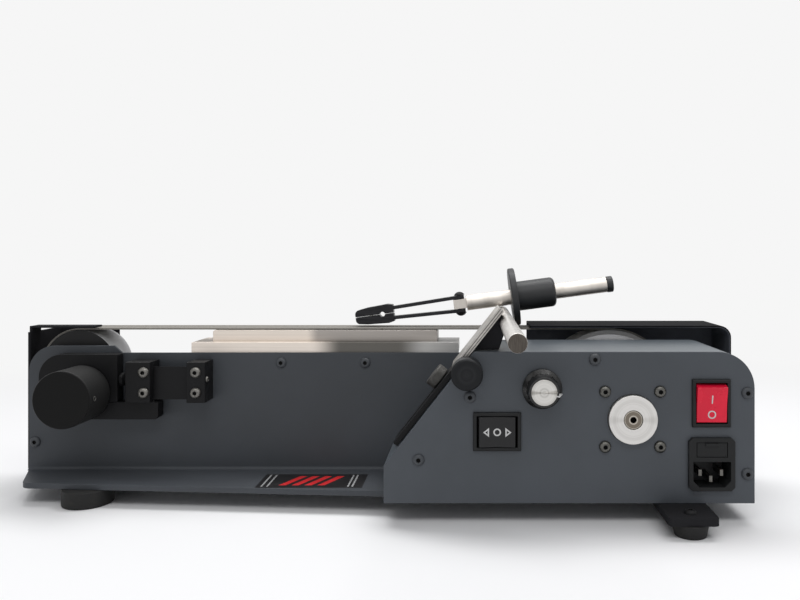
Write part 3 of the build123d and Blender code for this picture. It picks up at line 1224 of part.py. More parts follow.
nodes = make_nodes()
extent = Compound([solid for shape in nodes.values() for solid in shape.solids()]).bounding_box()
base_centre = Vector(-extent.center().X, -extent.center().Y, -extent.min.Z)
os.makedirs("parts", exist_ok=True)
for name, shape in nodes.items():
    export_step(Pos(base_centre) * Compound(shape.solids()), f"parts/{name}.step")
print(len(nodes), "pieces", extent.size, "moved by", base_centre)
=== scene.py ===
import json
import math
import bmesh
import bpy
from mathutils import Matrix, Vector
from mathutils.bvhtree import BVHTree

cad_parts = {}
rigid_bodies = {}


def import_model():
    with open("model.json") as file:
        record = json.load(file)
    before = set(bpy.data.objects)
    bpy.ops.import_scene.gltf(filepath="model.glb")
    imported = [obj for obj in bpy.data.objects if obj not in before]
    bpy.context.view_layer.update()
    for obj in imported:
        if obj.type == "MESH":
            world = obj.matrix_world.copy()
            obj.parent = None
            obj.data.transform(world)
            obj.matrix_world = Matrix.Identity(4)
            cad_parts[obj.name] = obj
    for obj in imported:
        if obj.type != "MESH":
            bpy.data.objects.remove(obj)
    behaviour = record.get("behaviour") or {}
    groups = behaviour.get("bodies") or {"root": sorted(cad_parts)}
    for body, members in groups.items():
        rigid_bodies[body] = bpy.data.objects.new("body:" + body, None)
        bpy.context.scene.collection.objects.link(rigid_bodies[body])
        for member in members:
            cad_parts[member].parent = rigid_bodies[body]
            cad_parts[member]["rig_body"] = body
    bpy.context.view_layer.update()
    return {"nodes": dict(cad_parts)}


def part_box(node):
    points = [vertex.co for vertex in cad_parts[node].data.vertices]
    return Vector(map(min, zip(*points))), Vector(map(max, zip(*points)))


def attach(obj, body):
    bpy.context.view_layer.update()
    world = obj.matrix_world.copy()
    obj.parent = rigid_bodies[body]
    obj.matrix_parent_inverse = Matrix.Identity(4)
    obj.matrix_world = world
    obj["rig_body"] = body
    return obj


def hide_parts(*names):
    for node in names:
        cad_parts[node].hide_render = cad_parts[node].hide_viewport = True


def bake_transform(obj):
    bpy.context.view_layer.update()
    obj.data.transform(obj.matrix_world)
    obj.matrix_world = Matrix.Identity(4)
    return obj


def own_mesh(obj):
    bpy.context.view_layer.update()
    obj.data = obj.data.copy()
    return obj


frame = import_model()

# Pieces are sized in millimetres, which MM turns into metres. Finishes, floor and lamps are in metres.
MM = 0.001
SLOPE = math.radians(51.75)
SLOPE_OUT = Vector((-math.sin(SLOPE), 0, math.cos(SLOPE)))
ARM_TILT = math.radians(7.5)
ARM_ALONG = Vector((math.cos(ARM_TILT), 0, math.sin(ARM_TILT)))
# The corner of the front panel's face from which places are counted.
PANEL_X = 69.5
PANEL_Y = -8.75
IDLER_RADIUS = 28.5


def spot(x, y, z):
    """A place counted from the front panel, in the frame's metres."""
    return Vector(((x + PANEL_X) * MM, (y + PANEL_Y) * MM, z * MM))


def middle(node):
    """The middle of a CAD node's box."""
    low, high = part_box(node)
    return (low + high) / 2


def shade(red, green, blue):
    """A colour read off the photo as 0 to 255, made linear."""
    parts = [c / 255 for c in (red, green, blue)]
    linear = [c / 12.92 if c <= 0.04045 else ((c + 0.055) / 1.055) ** 2.4 for c in parts]
    return (*linear, 1.0)


class Value:
    """A socket in a node tree; sums written with it add their Math nodes."""

    def __init__(self, owner, socket):
        self.owner = owner
        self.socket = socket

    def sum(self, operation, first, second=None):
        inputs = {0: first} if second is None else {0: first, 1: second}
        return self.owner.node("ShaderNodeMath", {"operation": operation}, inputs)

    def __add__(self, other):
        return self.sum("ADD", self, other)

    def __radd__(self, other):
        return self.sum("ADD", other, self)

    def __sub__(self, other):
        return self.sum("SUBTRACT", self, other)

    def __rsub__(self, other):
        return self.sum("SUBTRACT", other, self)

    def __mul__(self, other):
        return self.sum("MULTIPLY", self, other)

    def __rmul__(self, other):
        return self.sum("MULTIPLY", other, self)

    def __truediv__(self, other):
        return self.sum("DIVIDE", self, other)

    def __rtruediv__(self, other):
        return self.sum("DIVIDE", other, self)

    def below(self, level):
        return self.sum("LESS_THAN", self, level)

    def size(self):
        return self.sum("ABSOLUTE", self)

    def larger(self, other):
        return self.sum("MAXIMUM", self, other)


class Nodes:
    """A node tree that is written as expressions."""

    def __init__(self, tree):
        self.tree = tree

    def node(self, kind, settings=(), inputs=(), out=0):
        made = self.tree.nodes.new(kind)
        for key, value in dict(settings).items():
            setattr(made, key, value)
        for key, value in dict(inputs).items():
            self.feed(made.inputs[key], value)
        return Value(self, made.outputs[out])

    def feed(self, socket, value):
        if isinstance(value, Value):
            self.tree.links.new(value.socket, socket)
        else:
            socket.default_value = value

    def axes(self, place):
        """A place or a direction split into its X, Y and Z."""
        split = self.node("ShaderNodeSeparateXYZ", {}, {0: place})
        return [Value(self, out) for out in split.socket.node.outputs]

    def step(self, value, low, high):
        """0 below low, 1 above high and smooth between."""
        return self.node("ShaderNodeMapRange", {"interpolation_type": "SMOOTHSTEP"},
                         {"Value": value, "From Min": low, "From Max": high})

    def seen(self):
        """1 where the camera looks, also by way of metal or glass."""
        camera, glossy, through = [self.node("ShaderNodeLightPath", out="Is " + kind + " Ray")
                                   for kind in ("Camera", "Glossy", "Transmission")]
        return camera.larger(glossy).larger(through)


class Finish(Nodes):
    """One procedural material: a Principled shader with constants, fed by expressions."""

    def __init__(self, name, **constants):
        self.material = bpy.data.materials.new(name)
        self.material.use_nodes = True
        super().__init__(self.material.node_tree)
        self.shader = self.tree.nodes["Principled BSDF"]
        for key, value in constants.items():
            self.shader.inputs[key.replace("_", " ")].default_value = value
        self.place = self.node("ShaderNodeTexCoord", out="Object")
        self.material.diffuse_color = self.shader.inputs["Base Color"].default_value

    def stretched(self, by, turn=(0, 0, 0)):
        """The place turned and stretched."""
        return self.node("ShaderNodeMapping", {}, {"Vector": self.place, "Rotation": turn, "Scale": by})

    def counted_from(self, about):
        """The place counted from a middle."""
        return self.node("ShaderNodeVectorMath", {"operation": "SUBTRACT"}, {0: self.place, 1: tuple(about)})

    def along(self, direction, about):
        """Distance along a direction from a middle."""
        return self.node("ShaderNodeVectorMath", {"operation": "DOT_PRODUCT"},
                         {0: self.counted_from(about), 1: tuple(direction)}, out="Value")

    def radius(self, about, across=(1, 0, 1)):
        """Distance from an axis along one of the frame's directions."""
        flat = self.node("ShaderNodeVectorMath", {"operation": "MULTIPLY"},
                         {0: self.counted_from(about), 1: across})
        return self.node("ShaderNodeVectorMath", {"operation": "LENGTH"}, {0: flat}, out="Value")

    def grain(self, scale, detail=3.0, place=None, rough=0.55):
        return self.node("ShaderNodeTexNoise", {},
                         {"Vector": place or self.place, "Scale": scale, "Detail": detail, "Roughness": rough})

    def line(self, value, scale, detail=2.0):
        """Noise along one distance."""
        return self.node("ShaderNodeTexNoise", {"noise_dimensions": "1D"},
                         {"W": value, "Scale": scale, "Detail": detail})

    def cells(self, scale):
        return self.node("ShaderNodeTexVoronoi", {}, {"Vector": self.place, "Scale": scale}, out="Distance")

    def mix(self, factor, first, second):
        return self.node("ShaderNodeMix", {"data_type": "RGBA"}, {0: factor, 6: first, 7: second}, out=2)

    def colour(self, value):
        self.feed(self.shader.inputs["Base Color"], value)
        return self

    def rough(self, value):
        self.feed(self.shader.inputs["Roughness"], value)
        return self

    def relief(self, height, depth, strength=1.0):
        bump = self.node("ShaderNodeBump", {}, {"Height": height, "Distance": depth, "Strength": strength})
        self.feed(self.shader.inputs["Normal"], bump)
        return self


def powder_coat(name, colour, pale, rough, gloss=0.45, sheen=(1.0, 1.0, 1.0, 1.0)):
    """Sprayed powder coat: fine orange peel, cloudy colour and a little dust low down."""
    coat = Finish(name, Base_Color=colour, Specular_IOR_Level=gloss, Specular_Tint=sheen)
    cloud = coat.grain(14, 4)
    peel = coat.grain(1500, 2)
    speck = coat.step(coat.grain(900, 1), 0.66, 0.78)
    height = coat.axes(coat.place)[2]
    dust = (1 - coat.step(height, 0.012, 0.05)) * 0.35
    tint = coat.mix(coat.step(cloud, 0.35, 0.7) * 0.3 + speck * 0.25 + dust * 0.4, colour, pale)
    coat.colour(tint)
    coat.rough(rough + cloud * 0.12 + dust * 0.1)
    return coat.relief(peel * 0.7 + coat.grain(420, 2) * 0.5, 0.00009, 0.55)


def ground_blank(name, colour, by, rough, turn=(0, 0, 0)):
    """Steel with long grinding scratches; gives the finish and the scratches for its colour."""
    steel = Finish(name, Base_Color=colour, Metallic=1.0)
    scratch = steel.grain(1, 4, steel.stretched(by, turn), 0.7)
    steel.rough(rough + scratch * 0.22)
    steel.relief(scratch, 0.00006, 0.4)
    return steel, scratch


def ground_steel(name, colour, dark, by, rough):
    """Ground steel with darker scratches and faint clouding."""
    steel, scratch = ground_blank(name, colour, by, rough)
    cloud = steel.grain(22, 3)
    return steel.colour(steel.mix(steel.step(scratch, 0.42, 0.68) * 0.45 + cloud * 0.25, colour, dark))


def platen_painted_reflections(name, soft, tint, painted_reflection_shades):
    """Ground platen with painted reflections: paler and warmer at its left end, with other painted shades from some
    places along X on.
    """
    steel, scratch = ground_blank(name, tint, (9, 700, 700), 0.34)
    x = steel.axes(steel.place)[0]
    for place, colour in painted_reflection_shades:
        tint = steel.mix(steel.step(x, spot(place - soft, 0, 0).x, spot(place + soft, 0, 0).x), tint, colour)
    dark = steel.mix(0.5, tint, shade(96, 92, 88))
    return steel.colour(steel.mix(scratch * 0.6, tint, dark))


def plate_finish(name, about):
    """Angle plate: drawn along the slope, with two dark lines of painted shade along its edge where grooves would be.
    """
    steel, scratch = ground_blank(name, shade(196, 192, 187), (14, 800, 800), 0.26, (0, SLOPE, 0))
    across = steel.along(SLOPE_OUT, about)
    tint = steel.mix(scratch, shade(206, 202, 197), shade(132, 129, 126))
    # Painted shade: two dark lines standing in for grooves along the edge.
    groove_shade_lines = (across - 0.0007).size().below(0.0003).larger((across + 0.0009).size().below(0.0003))
    return steel.colour(steel.mix(groove_shade_lines * 0.75, tint, shade(52, 51, 50)))


def turned_blank(name, about, colour, rough, ring, metallic=1.0, gloss=0.5):
    """Metal turned in a lathe about an axis along Y; gives the finish and the radius for its colour."""
    metal = Finish(name, Base_Color=colour, Metallic=metallic, Specular_IOR_Level=gloss)
    radius = metal.radius(about)
    rings = metal.line(radius, ring)
    depth = metal.line(metal.axes(metal.place)[1], ring * 0.8)
    metal.rough(rough + rings * 0.2)
    metal.relief(rings * 0.6 + depth * 0.4, 0.00005, 0.45)
    return metal, radius


def turned_metal(name, about, colour, dark, rough, ring=2600, metallic=1.0, gloss=0.5, sweep=0.0):
    """Turned metal with wide darker rings and, where one is asked for, a painted reflection: darker sweeps to the left
    and right, as on a turned face's sheen.
    """
    metal, radius = turned_blank(name, about, colour, rough, ring, metallic, gloss)
    dull = metal.step(metal.line(radius, ring / 7), 0.4, 0.7) * 0.4
    # The sweep is a painted reflection, darker to the left and right of the middle.
    if sweep:
        level = metal.along((0, 0, 1), about).size() / radius
        dull = dull + (1 - metal.step(level, 0.03, 0.3)) * sweep
    return metal.colour(metal.mix(dull, colour, dark))


def pale_rim_wear_and_sheen(name, about, rim, face, bright, dull, metallic, gloss):
    """Turned metal with a black face and a paler rim: bare wear on the idler, a painted sheen on the tracking knob."""
    metal, radius = turned_blank(name, about, face, 0.4, 2200, metallic, gloss)
    pale_rim = metal.step(radius, rim - 0.0003, rim - 0.0001)
    marks = metal.line(metal.axes(metal.place)[1], 2400)
    return metal.colour(metal.mix(pale_rim, face, metal.mix(marks, bright, dull)))


def ringed_shaft(name, about):
    """Shaft end with painted shade for its centre hole, a bright seat and a brown ring of old grease."""
    shaft, radius = turned_blank(name, about, shade(168, 162, 152), 0.32, 3400)
    grease = shaft.step(radius, 0.0028, 0.0031) * (1 - shaft.step(radius, 0.0052, 0.0055))
    tint = shaft.mix(grease * 0.75, shade(178, 172, 162), shade(84, 74, 62))
    # The centre is painted dark: painted shade in the centre hole.
    return shaft.colour(shaft.mix(radius.below(0.0021), tint, shade(30, 28, 26)))


def drawn_blank(name, direction, about, colour, rough):
    """Centreless-ground round bar: fine marks round it; gives the finish, the run along it and handled places."""
    bar = Finish(name, Base_Color=colour, Metallic=1.0)
    run = bar.along(direction, about)
    marks = bar.line(run, 1400, 3)
    touch = bar.step(bar.grain(60, 3), 0.5, 0.72)
    bar.rough(rough + marks * 0.14 + touch * 0.1)
    bar.relief(marks, 0.00004, 0.35)
    return bar, run, touch


def drawn_tube(name, direction, about, colour, dark, rough):
    """Drawn tube with darker bands and handled places."""
    tube, run, touch = drawn_blank(name, direction, about, colour, rough)
    bands = tube.step(tube.line(run, 90, 2), 0.4, 0.75)
    return tube.colour(tube.mix(bands * 0.35 + touch * 0.15, colour, dark))


def bar_finish(name, about, front):
    """Guide bar: bright body and a sawn, darker front end."""
    bar = drawn_blank(name, (0, 1, 0), about, shade(206, 202, 197), 0.22)[0]
    y = bar.axes(bar.place)[1]
    body = bar.mix(bar.line(y, 160), shade(236, 233, 229), shade(200, 197, 193))
    streak = bar.grain(1, 3, bar.stretched((1500, 1, 160)))
    end = bar.mix(streak, shade(104, 98, 92), shade(58, 54, 50))
    return bar.colour(bar.mix((y - front).below(0.0002), body, end))


def moulded_plastic(name, colour, rough, grain_scale=1800, depth=0.00006, gloss=0.5):
    """Moulded plastic with a fine spark-eroded grain and finger sheen."""
    plastic = Finish(name, Base_Color=colour, Specular_IOR_Level=gloss)
    grain = plastic.grain(grain_scale, 2)
    sheen = plastic.step(plastic.grain(70, 3), 0.4, 0.7)
    lighter = tuple(min(1.0, c * 1.35 + 0.004) for c in colour[:3]) + (1.0,)
    plastic.colour(plastic.mix(sheen * 0.35 + grain * 0.15, colour, lighter))
    plastic.rough(rough + sheen * 0.1 + grain * 0.08)
    return plastic.relief(grain, depth, 0.5)


def foot_rubber(name):
    """Black rubber with a dusty bloom and moulding pits."""
    rubber = Finish(name, Base_Color=shade(34, 34, 34), Specular_IOR_Level=0.3)
    bloom = rubber.step(rubber.grain(120, 4), 0.45, 0.75)
    pits = rubber.cells(1300)
    rubber.colour(rubber.mix(bloom * 0.4, shade(30, 30, 30), shade(64, 62, 59)))
    rubber.rough(0.68 + bloom * 0.18)
    return rubber.relief(pits, 0.0001, 0.4)


def abrasive_cloth(name):
    """Abrasive belt: grains in a grey binder, with a slanted joint."""
    cloth = Finish(name, Base_Color=shade(120, 116, 110), Specular_IOR_Level=0.35)
    grains = cloth.cells(2300)
    clump = cloth.grain(300, 3)
    loaded = cloth.step(cloth.grain(26, 3, cloth.stretched((0.25, 1, 1))), 0.5, 0.7)
    x, y = cloth.axes(cloth.place)[:2]
    joint = (x + y * 0.7 - 0.052).size().below(0.0006)
    tint = cloth.mix(cloth.step(grains, 0.1, 0.6), shade(96, 92, 87), shade(150, 146, 139))
    tint = cloth.mix(loaded * 0.35 + clump * 0.2, tint, shade(92, 92, 94))
    cloth.colour(cloth.mix(joint * 0.6, tint, shade(70, 62, 52)))
    cloth.rough(0.7 + clump * 0.2)
    return cloth.relief(grains + clump * 0.6, 0.0002, 0.7)


# The finishes of the pieces
case_paint = powder_coat("case_paint", shade(71, 75, 80), shade(88, 93, 100), 0.4, 0.3)
# A lighter, bluer copy of the case paint for the box shell: painted light on the box's top.
lit_shell_paint = powder_coat("lit_shell_paint", shade(77, 83, 89), shade(94, 101, 108), 0.3, 1.0, (0.9, 0.97, 1.0, 1.0))
# A darker copy of the case paint for the chassis: painted shade for the wall set back behind the panel.
shaded_wall_paint = powder_coat("shaded_wall_paint", shade(65, 68, 72), shade(80, 84, 90), 0.42, 0.25)
black_coat = powder_coat("black_coat", shade(38, 38, 40), shade(48, 48, 50), 0.55, 0.01)
# A darker copy of the black coat for the hood: painted shade on its top.
shaded_hood_coat = powder_coat("shaded_hood_coat", shade(27, 27, 29), shade(37, 37, 39), 0.55, 0.01)
# Paler finish for the hood's inside faces: painted light inside it.
hood_inside_painted_light = moulded_plastic("hood_inside_painted_light", shade(94, 97, 104), 0.8, gloss=0.1)
black_steel = powder_coat("blackened_steel", shade(18, 18, 19), shade(34, 34, 36), 0.4, 0.15)

# The platen's and the base's shades along X are painted reflections, the base's dark stretch among them.
WARM_STEEL_PAINTED_REFLECTION = shade(235, 225, 215)
platen_steel = platen_painted_reflections("platen_steel", 5, WARM_STEEL_PAINTED_REFLECTION, [(-122, shade(172, 166, 161))])
base_steel = platen_painted_reflections("base_steel", 12, WARM_STEEL_PAINTED_REFLECTION, [(-110, shade(97, 95, 91)), (-44, shade(184, 183, 181))])
strip_steel = ground_steel("strip_steel", shade(52, 52, 54), shade(26, 26, 27), (60, 900, 900), 0.28)
slide_steel = plate_finish("slide_steel", middle("angle_plate"))
hidden_steel = ground_steel("machined_steel", shade(170, 169, 167), shade(120, 119, 118), (300, 300, 300), 0.4)
arm_steel = drawn_tube("arm_steel", ARM_ALONG, middle("arm_tube"), shade(216, 210, 203), shade(170, 164, 157), 0.42)
bar_steel = bar_finish("bar_steel", middle("guide_bar"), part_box("guide_bar")[0].y)
# The boss and the cap carry a painted reflection: darker sweeps to the left and right.
boss_metal = turned_metal("boss_metal", middle("motor_front_bell"), shade(212, 210, 207), shade(172, 170, 166), 0.34,
                          sweep=0.35)
cap_metal = turned_metal("cap_metal", middle("speed_knob_cap"), shade(208, 206, 202), shade(128, 125, 119), 0.24, 4200,
                         sweep=0.6)
idler_metal = pale_rim_wear_and_sheen("idler_metal", middle("idler_wheel"), IDLER_RADIUS * MM, shade(20, 20, 21),
                       shade(186, 186, 187), shade(152, 152, 153), 0.4, 0.5)
wheel_metal = turned_metal("wheel_metal", middle("drive_wheel"), shade(218, 218, 220), shade(178, 178, 180), 0.4)
shaft_metal = ringed_shaft("shaft_metal", middle("drive_shaft"))
# The tracking knob's paler side is a painted sheen where light falls on it.
knob_low, knob_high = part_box("tracking_knob")
tracking_black = pale_rim_wear_and_sheen("tracking_black", middle("tracking_knob"), (knob_high.x - knob_low.x) / 2,
                          shade(17, 17, 17), shade(50, 50, 50), shade(36, 36, 36), 0.25, 0.15)
angle_black = turned_metal("angle_black", middle("angle_knob"), shade(27, 28, 30), shade(48, 49, 51), 0.36, 2200, 0.3,
                           0.2)
lock_grey = turned_metal("lock_grey", middle("lock_knob"), shade(58, 57, 55), shade(84, 83, 80), 0.4, 2200, 0.4)
zinc = ground_steel("screw_zinc", shade(196, 194, 188), shade(128, 126, 122), (900, 900, 900), 0.28)
grey_screw = ground_steel("screw_grey", shade(124, 122, 118), shade(64, 63, 61), (900, 900, 900), 0.34)
# Painted shade for the screws' hexagon sockets.
socket_painted_shade = moulded_plastic("socket_painted_shade", shade(16, 16, 16), 0.6, gloss=0.1)
dark_screw = ground_steel("screw_dark", shade(104, 103, 99), shade(44, 44, 43), (700, 700, 700), 0.24)
painted_screw = powder_coat("screw_painted", shade(56, 59, 63), shade(74, 78, 84), 0.46)
tyre_rubber = moulded_plastic("tyre_rubber", shade(200, 198, 196), 0.55, 900, 0.0001)
black_plastic = moulded_plastic("black_plastic", shade(22, 23, 24), 0.4, gloss=0.25)
knob_plastic = moulded_plastic("knob_plastic", shade(15, 15, 15), 0.2, 2600, gloss=0.5)
grip_plastic = moulded_plastic("grip_plastic", shade(36, 37, 39), 0.42, 1500, 0.0001, 0.45)
rocker_plastic = moulded_plastic("rocker_plastic", shade(26, 26, 27), 0.32, gloss=0.3)
red_plastic = moulded_plastic("red_plastic", shade(217, 22, 54), 0.2, 1200, 0.00003, 0.3)
white_print = moulded_plastic("white_print", shade(196, 196, 195), 0.5, 3000, 0.00002)
grey_print = moulded_plastic("grey_print", shade(150, 151, 152), 0.5, 3000, 0.00002)
red_print = moulded_plastic("red_print", shade(196, 30, 34), 0.4, 3000, 0.00002)
dark_print = moulded_plastic("dark_print", shade(24, 23, 24), 0.3, 3000, 0.00002)
rubber = foot_rubber("foot_rubber")
belt_cloth = abrasive_cloth("belt_cloth")
contact = ground_steel("contact_plate", shade(112, 110, 106), shade(76, 74, 70), (500, 60, 500), 0.3)
board_green = moulded_plastic("board_green", shade(36, 92, 58), 0.4, 900, 0.0001)


def settle(form, name, finish, body, sharp=38):
    """Makes the bmesh an object of the scene that rides on a body."""
    mesh = bpy.data.meshes.new(name)
    for face in form.faces:
        face.smooth = True
    form.to_mesh(mesh)
    form.free()
    mesh.set_sharp_from_angle(angle=math.radians(sharp))
    mesh.materials.append(finish.material)
    piece = bpy.data.objects.new(name, mesh)
    bpy.context.scene.collection.objects.link(piece)
    normals = piece.modifiers.new("even_shading", "WEIGHTED_NORMAL")
    normals.keep_sharp = True
    if body:
        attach(piece, body)
    return piece


def rounded(form, edges, width, segments, clamp=True):
    """Rounds off edges of a bmesh by a width in millimetres."""
    bmesh.ops.bevel(form, geom=edges, offset=width * MM, offset_type="OFFSET", segments=segments, profile=0.5,
                    affect="EDGES", clamp_overlap=clamp, material=-1)


# Points nearer than MERGE become one, faces that meet at less than FLAT_ANGLE degrees become one, and edges that
# turn by more than EDGE_ANGLE degrees are rounded off.
MERGE = 0.002
FLAT_ANGLE = 0.6
EDGE_ANGLE = 34


def eased(node, finish, width, clamp):
    """A piece with a CAD node's own form and its sharp edges rounded off."""
    source = frame["nodes"][node]
    form = bmesh.new()
    form.from_mesh(source.data)
    bmesh.ops.remove_doubles(form, verts=form.verts, dist=MERGE * MM)
    bmesh.ops.dissolve_limit(form, angle_limit=math.radians(FLAT_ANGLE), verts=form.verts, edges=form.edges)
    sharp = [e for e in form.edges if e.is_manifold and e.calc_face_angle(0.0) > math.radians(EDGE_ANGLE)]
    rounded(form, sharp, width, 2, clamp)
    piece = settle(form, node + "_piece", finish, source["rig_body"])
    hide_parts(node)
    return piece


def turned(profile, steps):
    """A bmesh spun about Y from points of radius and depth, in millimetres."""
    form = bmesh.new()
    points = [form.verts.new((r * MM, y * MM, 0)) for r, y in profile]
    edges = [form.edges.new(pair) for pair in zip(points, points[1:])]
    bmesh.ops.spin(form, geom=points + edges, cent=(0, 0, 0), axis=(0, 1, 0), dvec=(0, 0, 0),
                   angle=2 * math.pi, steps=steps, use_merge=True, use_duplicate=False)
    bmesh.ops.remove_doubles(form, verts=form.verts, dist=0.001 * MM)
    bmesh.ops.recalc_face_normals(form, faces=form.faces)
    return form


def slab(width, height, depth, corner):
    """A rounded plate in the XZ plane with its back at Y = 0 and its face at minus depth, in millimetres."""
    form = bmesh.new()
    bmesh.ops.create_cube(form, size=1.0)
    bmesh.ops.scale(form, vec=(width * MM, depth * MM, height * MM), verts=form.verts)
    bmesh.ops.translate(form, vec=(0, -depth * MM / 2, 0), verts=form.verts)
    upright = [e for e in form.edges if abs((e.verts[0].co - e.verts[1].co).y) > depth * MM / 2]
    rounded(form, upright, corner, 4)
    front = [e for e in form.edges if all(v.co.y < -depth * MM * 0.9 for v in e.verts)]
    rounded(form, front, depth * 0.3, 2)
    return form


def moved(form, matrix):
    """The same bmesh put in its place."""
    bmesh.ops.transform(form, matrix=matrix, verts=form.verts)
    return form


def joined(forms):
    """Several bmeshes as one."""
    whole = bmesh.new()
    for form in forms:
        mesh = bpy.data.meshes.new("joining")
        form.to_mesh(mesh)
        form.free()
        whole.from_mesh(mesh)
        bpy.data.meshes.remove(mesh)
    return whole


HEAD_STEPS = 8
HEAD_SIDES = 36


def button_head(radius=4.0, height=2.4, hexagon=1.35, shank=2.0, length=5.0):
    """A button-head screw along Y, seat at 0 and head towards the operator, with a hexagon socket."""
    profile = [(0, length), (shank * 0.8, length), (shank, length - 0.5), (shank, 0), (radius, 0)]
    for step in range(1, HEAD_STEPS):
        turn = math.radians(90 * step / HEAD_STEPS)
        profile.append((hexagon * 1.25 + (radius - hexagon * 1.25) * math.cos(turn), -height * math.sin(turn)))
    profile += [(hexagon * 1.2, -height), (hexagon, -height + 0.2), (hexagon, -height * 0.35), (0, -height * 0.3)]
    form = turned(profile, HEAD_SIDES)
    for vert in form.verts:
        flat = Vector((vert.co.x, vert.co.z))
        if vert.co.y < -height * MM * 0.32 and 0.1 * MM < flat.length < hexagon * 1.1 * MM:
            around = math.atan2(flat.y, flat.x) % (math.pi / 3) - math.pi / 6
            reach = 0.94 / math.cos(around)
            vert.co.x *= reach
            vert.co.z *= reach
    # Faces inside the socket take the second finish, painted shade in the socket.
    for face in form.faces:
        place = face.calc_center_median()
        in_socket = math.hypot(place.x, place.z) < hexagon * 1.08 * MM
        face.material_index = int(in_socket and -height * 0.96 * MM < place.y < 0)
    return form


# Each screw of a set is turned a little further than the one before.
SCREW_TURN = math.radians(17)


def screws(name, places, finish, body, slot, turn=None, **sizes):
    """Button-head screws at several places, as one piece."""
    forms = []
    for index, place in enumerate(places):
        spun = Matrix.Rotation(index * SCREW_TURN, 4, "Y")
        matrix = Matrix.Translation(place) @ (turn or Matrix.Identity(4)) @ spun
        forms.append(moved(button_head(**sizes), matrix))
    piece = settle(joined(forms), name, finish, body, 50)
    # The second finish is painted shade for the sockets.
    piece.data.materials.append(socket_painted_shade.material)
    return piece


# Sheet metal and machined pieces keep their form and get rounded edges.
EASED = [
    ("wheel_guard", shaded_hood_coat, 0.35), ("idler_guard", black_coat, 0.35), ("belt_pan", black_coat, 0.35),
    ("platen_base", base_steel, 0.3), ("platen", platen_steel, 0.25), ("foot_bar", black_coat, 0.5),
    ("arm_clamp", black_steel, 0.4), ("hinge_clamp", black_steel, 0.4), ("bar_bracket", black_coat, 0.4),
    ("angle_plate", slide_steel, 0.35), ("arm_tube", arm_steel, 0.3), ("guide_bar", bar_steel, 0.2),
    ("upper_jaw", strip_steel, 0.25), ("lower_jaw", strip_steel, 0.25), ("stop_disc", grip_plastic, 0.3),
    ("handle_sleeve", grip_plastic, 0.5), ("tube_cap", grip_plastic, 0.8), ("angle_knob", angle_black, 0.3),
    ("motor_front_bell", boss_metal, 0.25), ("drive_wheel", wheel_metal, 0.5), ("idler_wheel", idler_metal, 0.5),
    ("fuse_drawer", black_plastic, 0.3), ("direction_switch_body", black_plastic, 0.3),
    ("power_rocker", red_plastic, 0.5), ("large_feet", rubber, 0.6), ("small_feet", rubber, 0.6),
    ("rack_tongue", black_steel, 0.15),
]
for node, finish, width in EASED:
    eased(node, finish, width, clamp=True)

# The inside faces of the hood get a paler finish: painted light inside the hood.
hood = bpy.data.objects["wheel_guard_piece"].data
hood.materials.append(hood_inside_painted_light.material)
hood_middle = middle("wheel_guard")
for face in hood.polygons:
    face.material_index = int(face.normal.dot(hood_middle - face.center) > 0)

# Pieces with small holes and flutes, where the rounding keeps its width at each of them.
FINE_EASED = [
    ("main_chassis", shaded_wall_paint, 0.35), ("control_box_shell", lit_shell_paint, 0.35), ("front_panel", case_paint, 0.35),
    ("tension_block", black_steel, 0.35), ("tracking_arm", black_steel, 0.35), ("hinge_block", black_steel, 0.35),
    ("clevis_block", arm_steel, 0.15), ("tracking_knob", tracking_black, 0.35), ("lock_knob", lock_grey, 0.3),
    ("speed_knob", knob_plastic, 0.15), ("speed_knob_cap", cap_metal, 0.2), ("inlet_body", black_plastic, 0.2),
    ("power_switch_body", black_plastic, 0.3), ("direction_rocker", rocker_plastic, 0.35),
]
for node, finish, width in FINE_EASED:
    eased(node, finish, width, clamp=False)

# The spring washers, which close up as the idler is drawn in, get a mesh of their own.
springs = eased("tension_springs", black_steel, 0.1, clamp=True)
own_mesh(springs)

# The leaf, which bends between the clamp bars, is a box cut many times along its length.
LEAF_CUTS = 24
leaf_low, leaf_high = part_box("leaf_spring")
leaf_middle = middle("leaf_spring")
leaf = bmesh.new()
bmesh.ops.create_cube(leaf, size=1.0)
bmesh.ops.scale(leaf, vec=leaf_high - leaf_low, verts=leaf.verts)
bmesh.ops.translate(leaf, vec=leaf_middle, verts=leaf.verts)
lengthwise = [e for e in leaf.edges if abs(e.verts[0].co.x - e.verts[1].co.x) > MM]
bmesh.ops.subdivide_edges(leaf, edges=lengthwise, cuts=LEAF_CUTS, use_grid_fill=True)
leaf_piece = settle(leaf, "leaf_spring_piece", black_steel, None)
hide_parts("leaf_spring")
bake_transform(leaf_piece)

# Pieces that keep their CAD mesh and get a finish.
PLAIN = {
    "abrasive_belt": belt_cloth, "motor_can": hidden_steel, "motor_bearings": hidden_steel,
    "power_supply": hidden_steel, "controller_board": board_green, "potentiometer": hidden_steel,
    "inlet_pins": contact, "drive_shaft": shaft_metal, "motor_rotor": hidden_steel,
    "wheel_tyre": tyre_rubber, "idler_bearings": hidden_steel, "idler_axle": hidden_steel,
    "rack_pinion": hidden_steel, "strip_screws": black_steel, "clamp_screw": zinc,
}
for node, finish in PLAIN.items():
    mesh = frame["nodes"][node].data
    mesh.materials.clear()
    mesh.materials.append(finish.material)

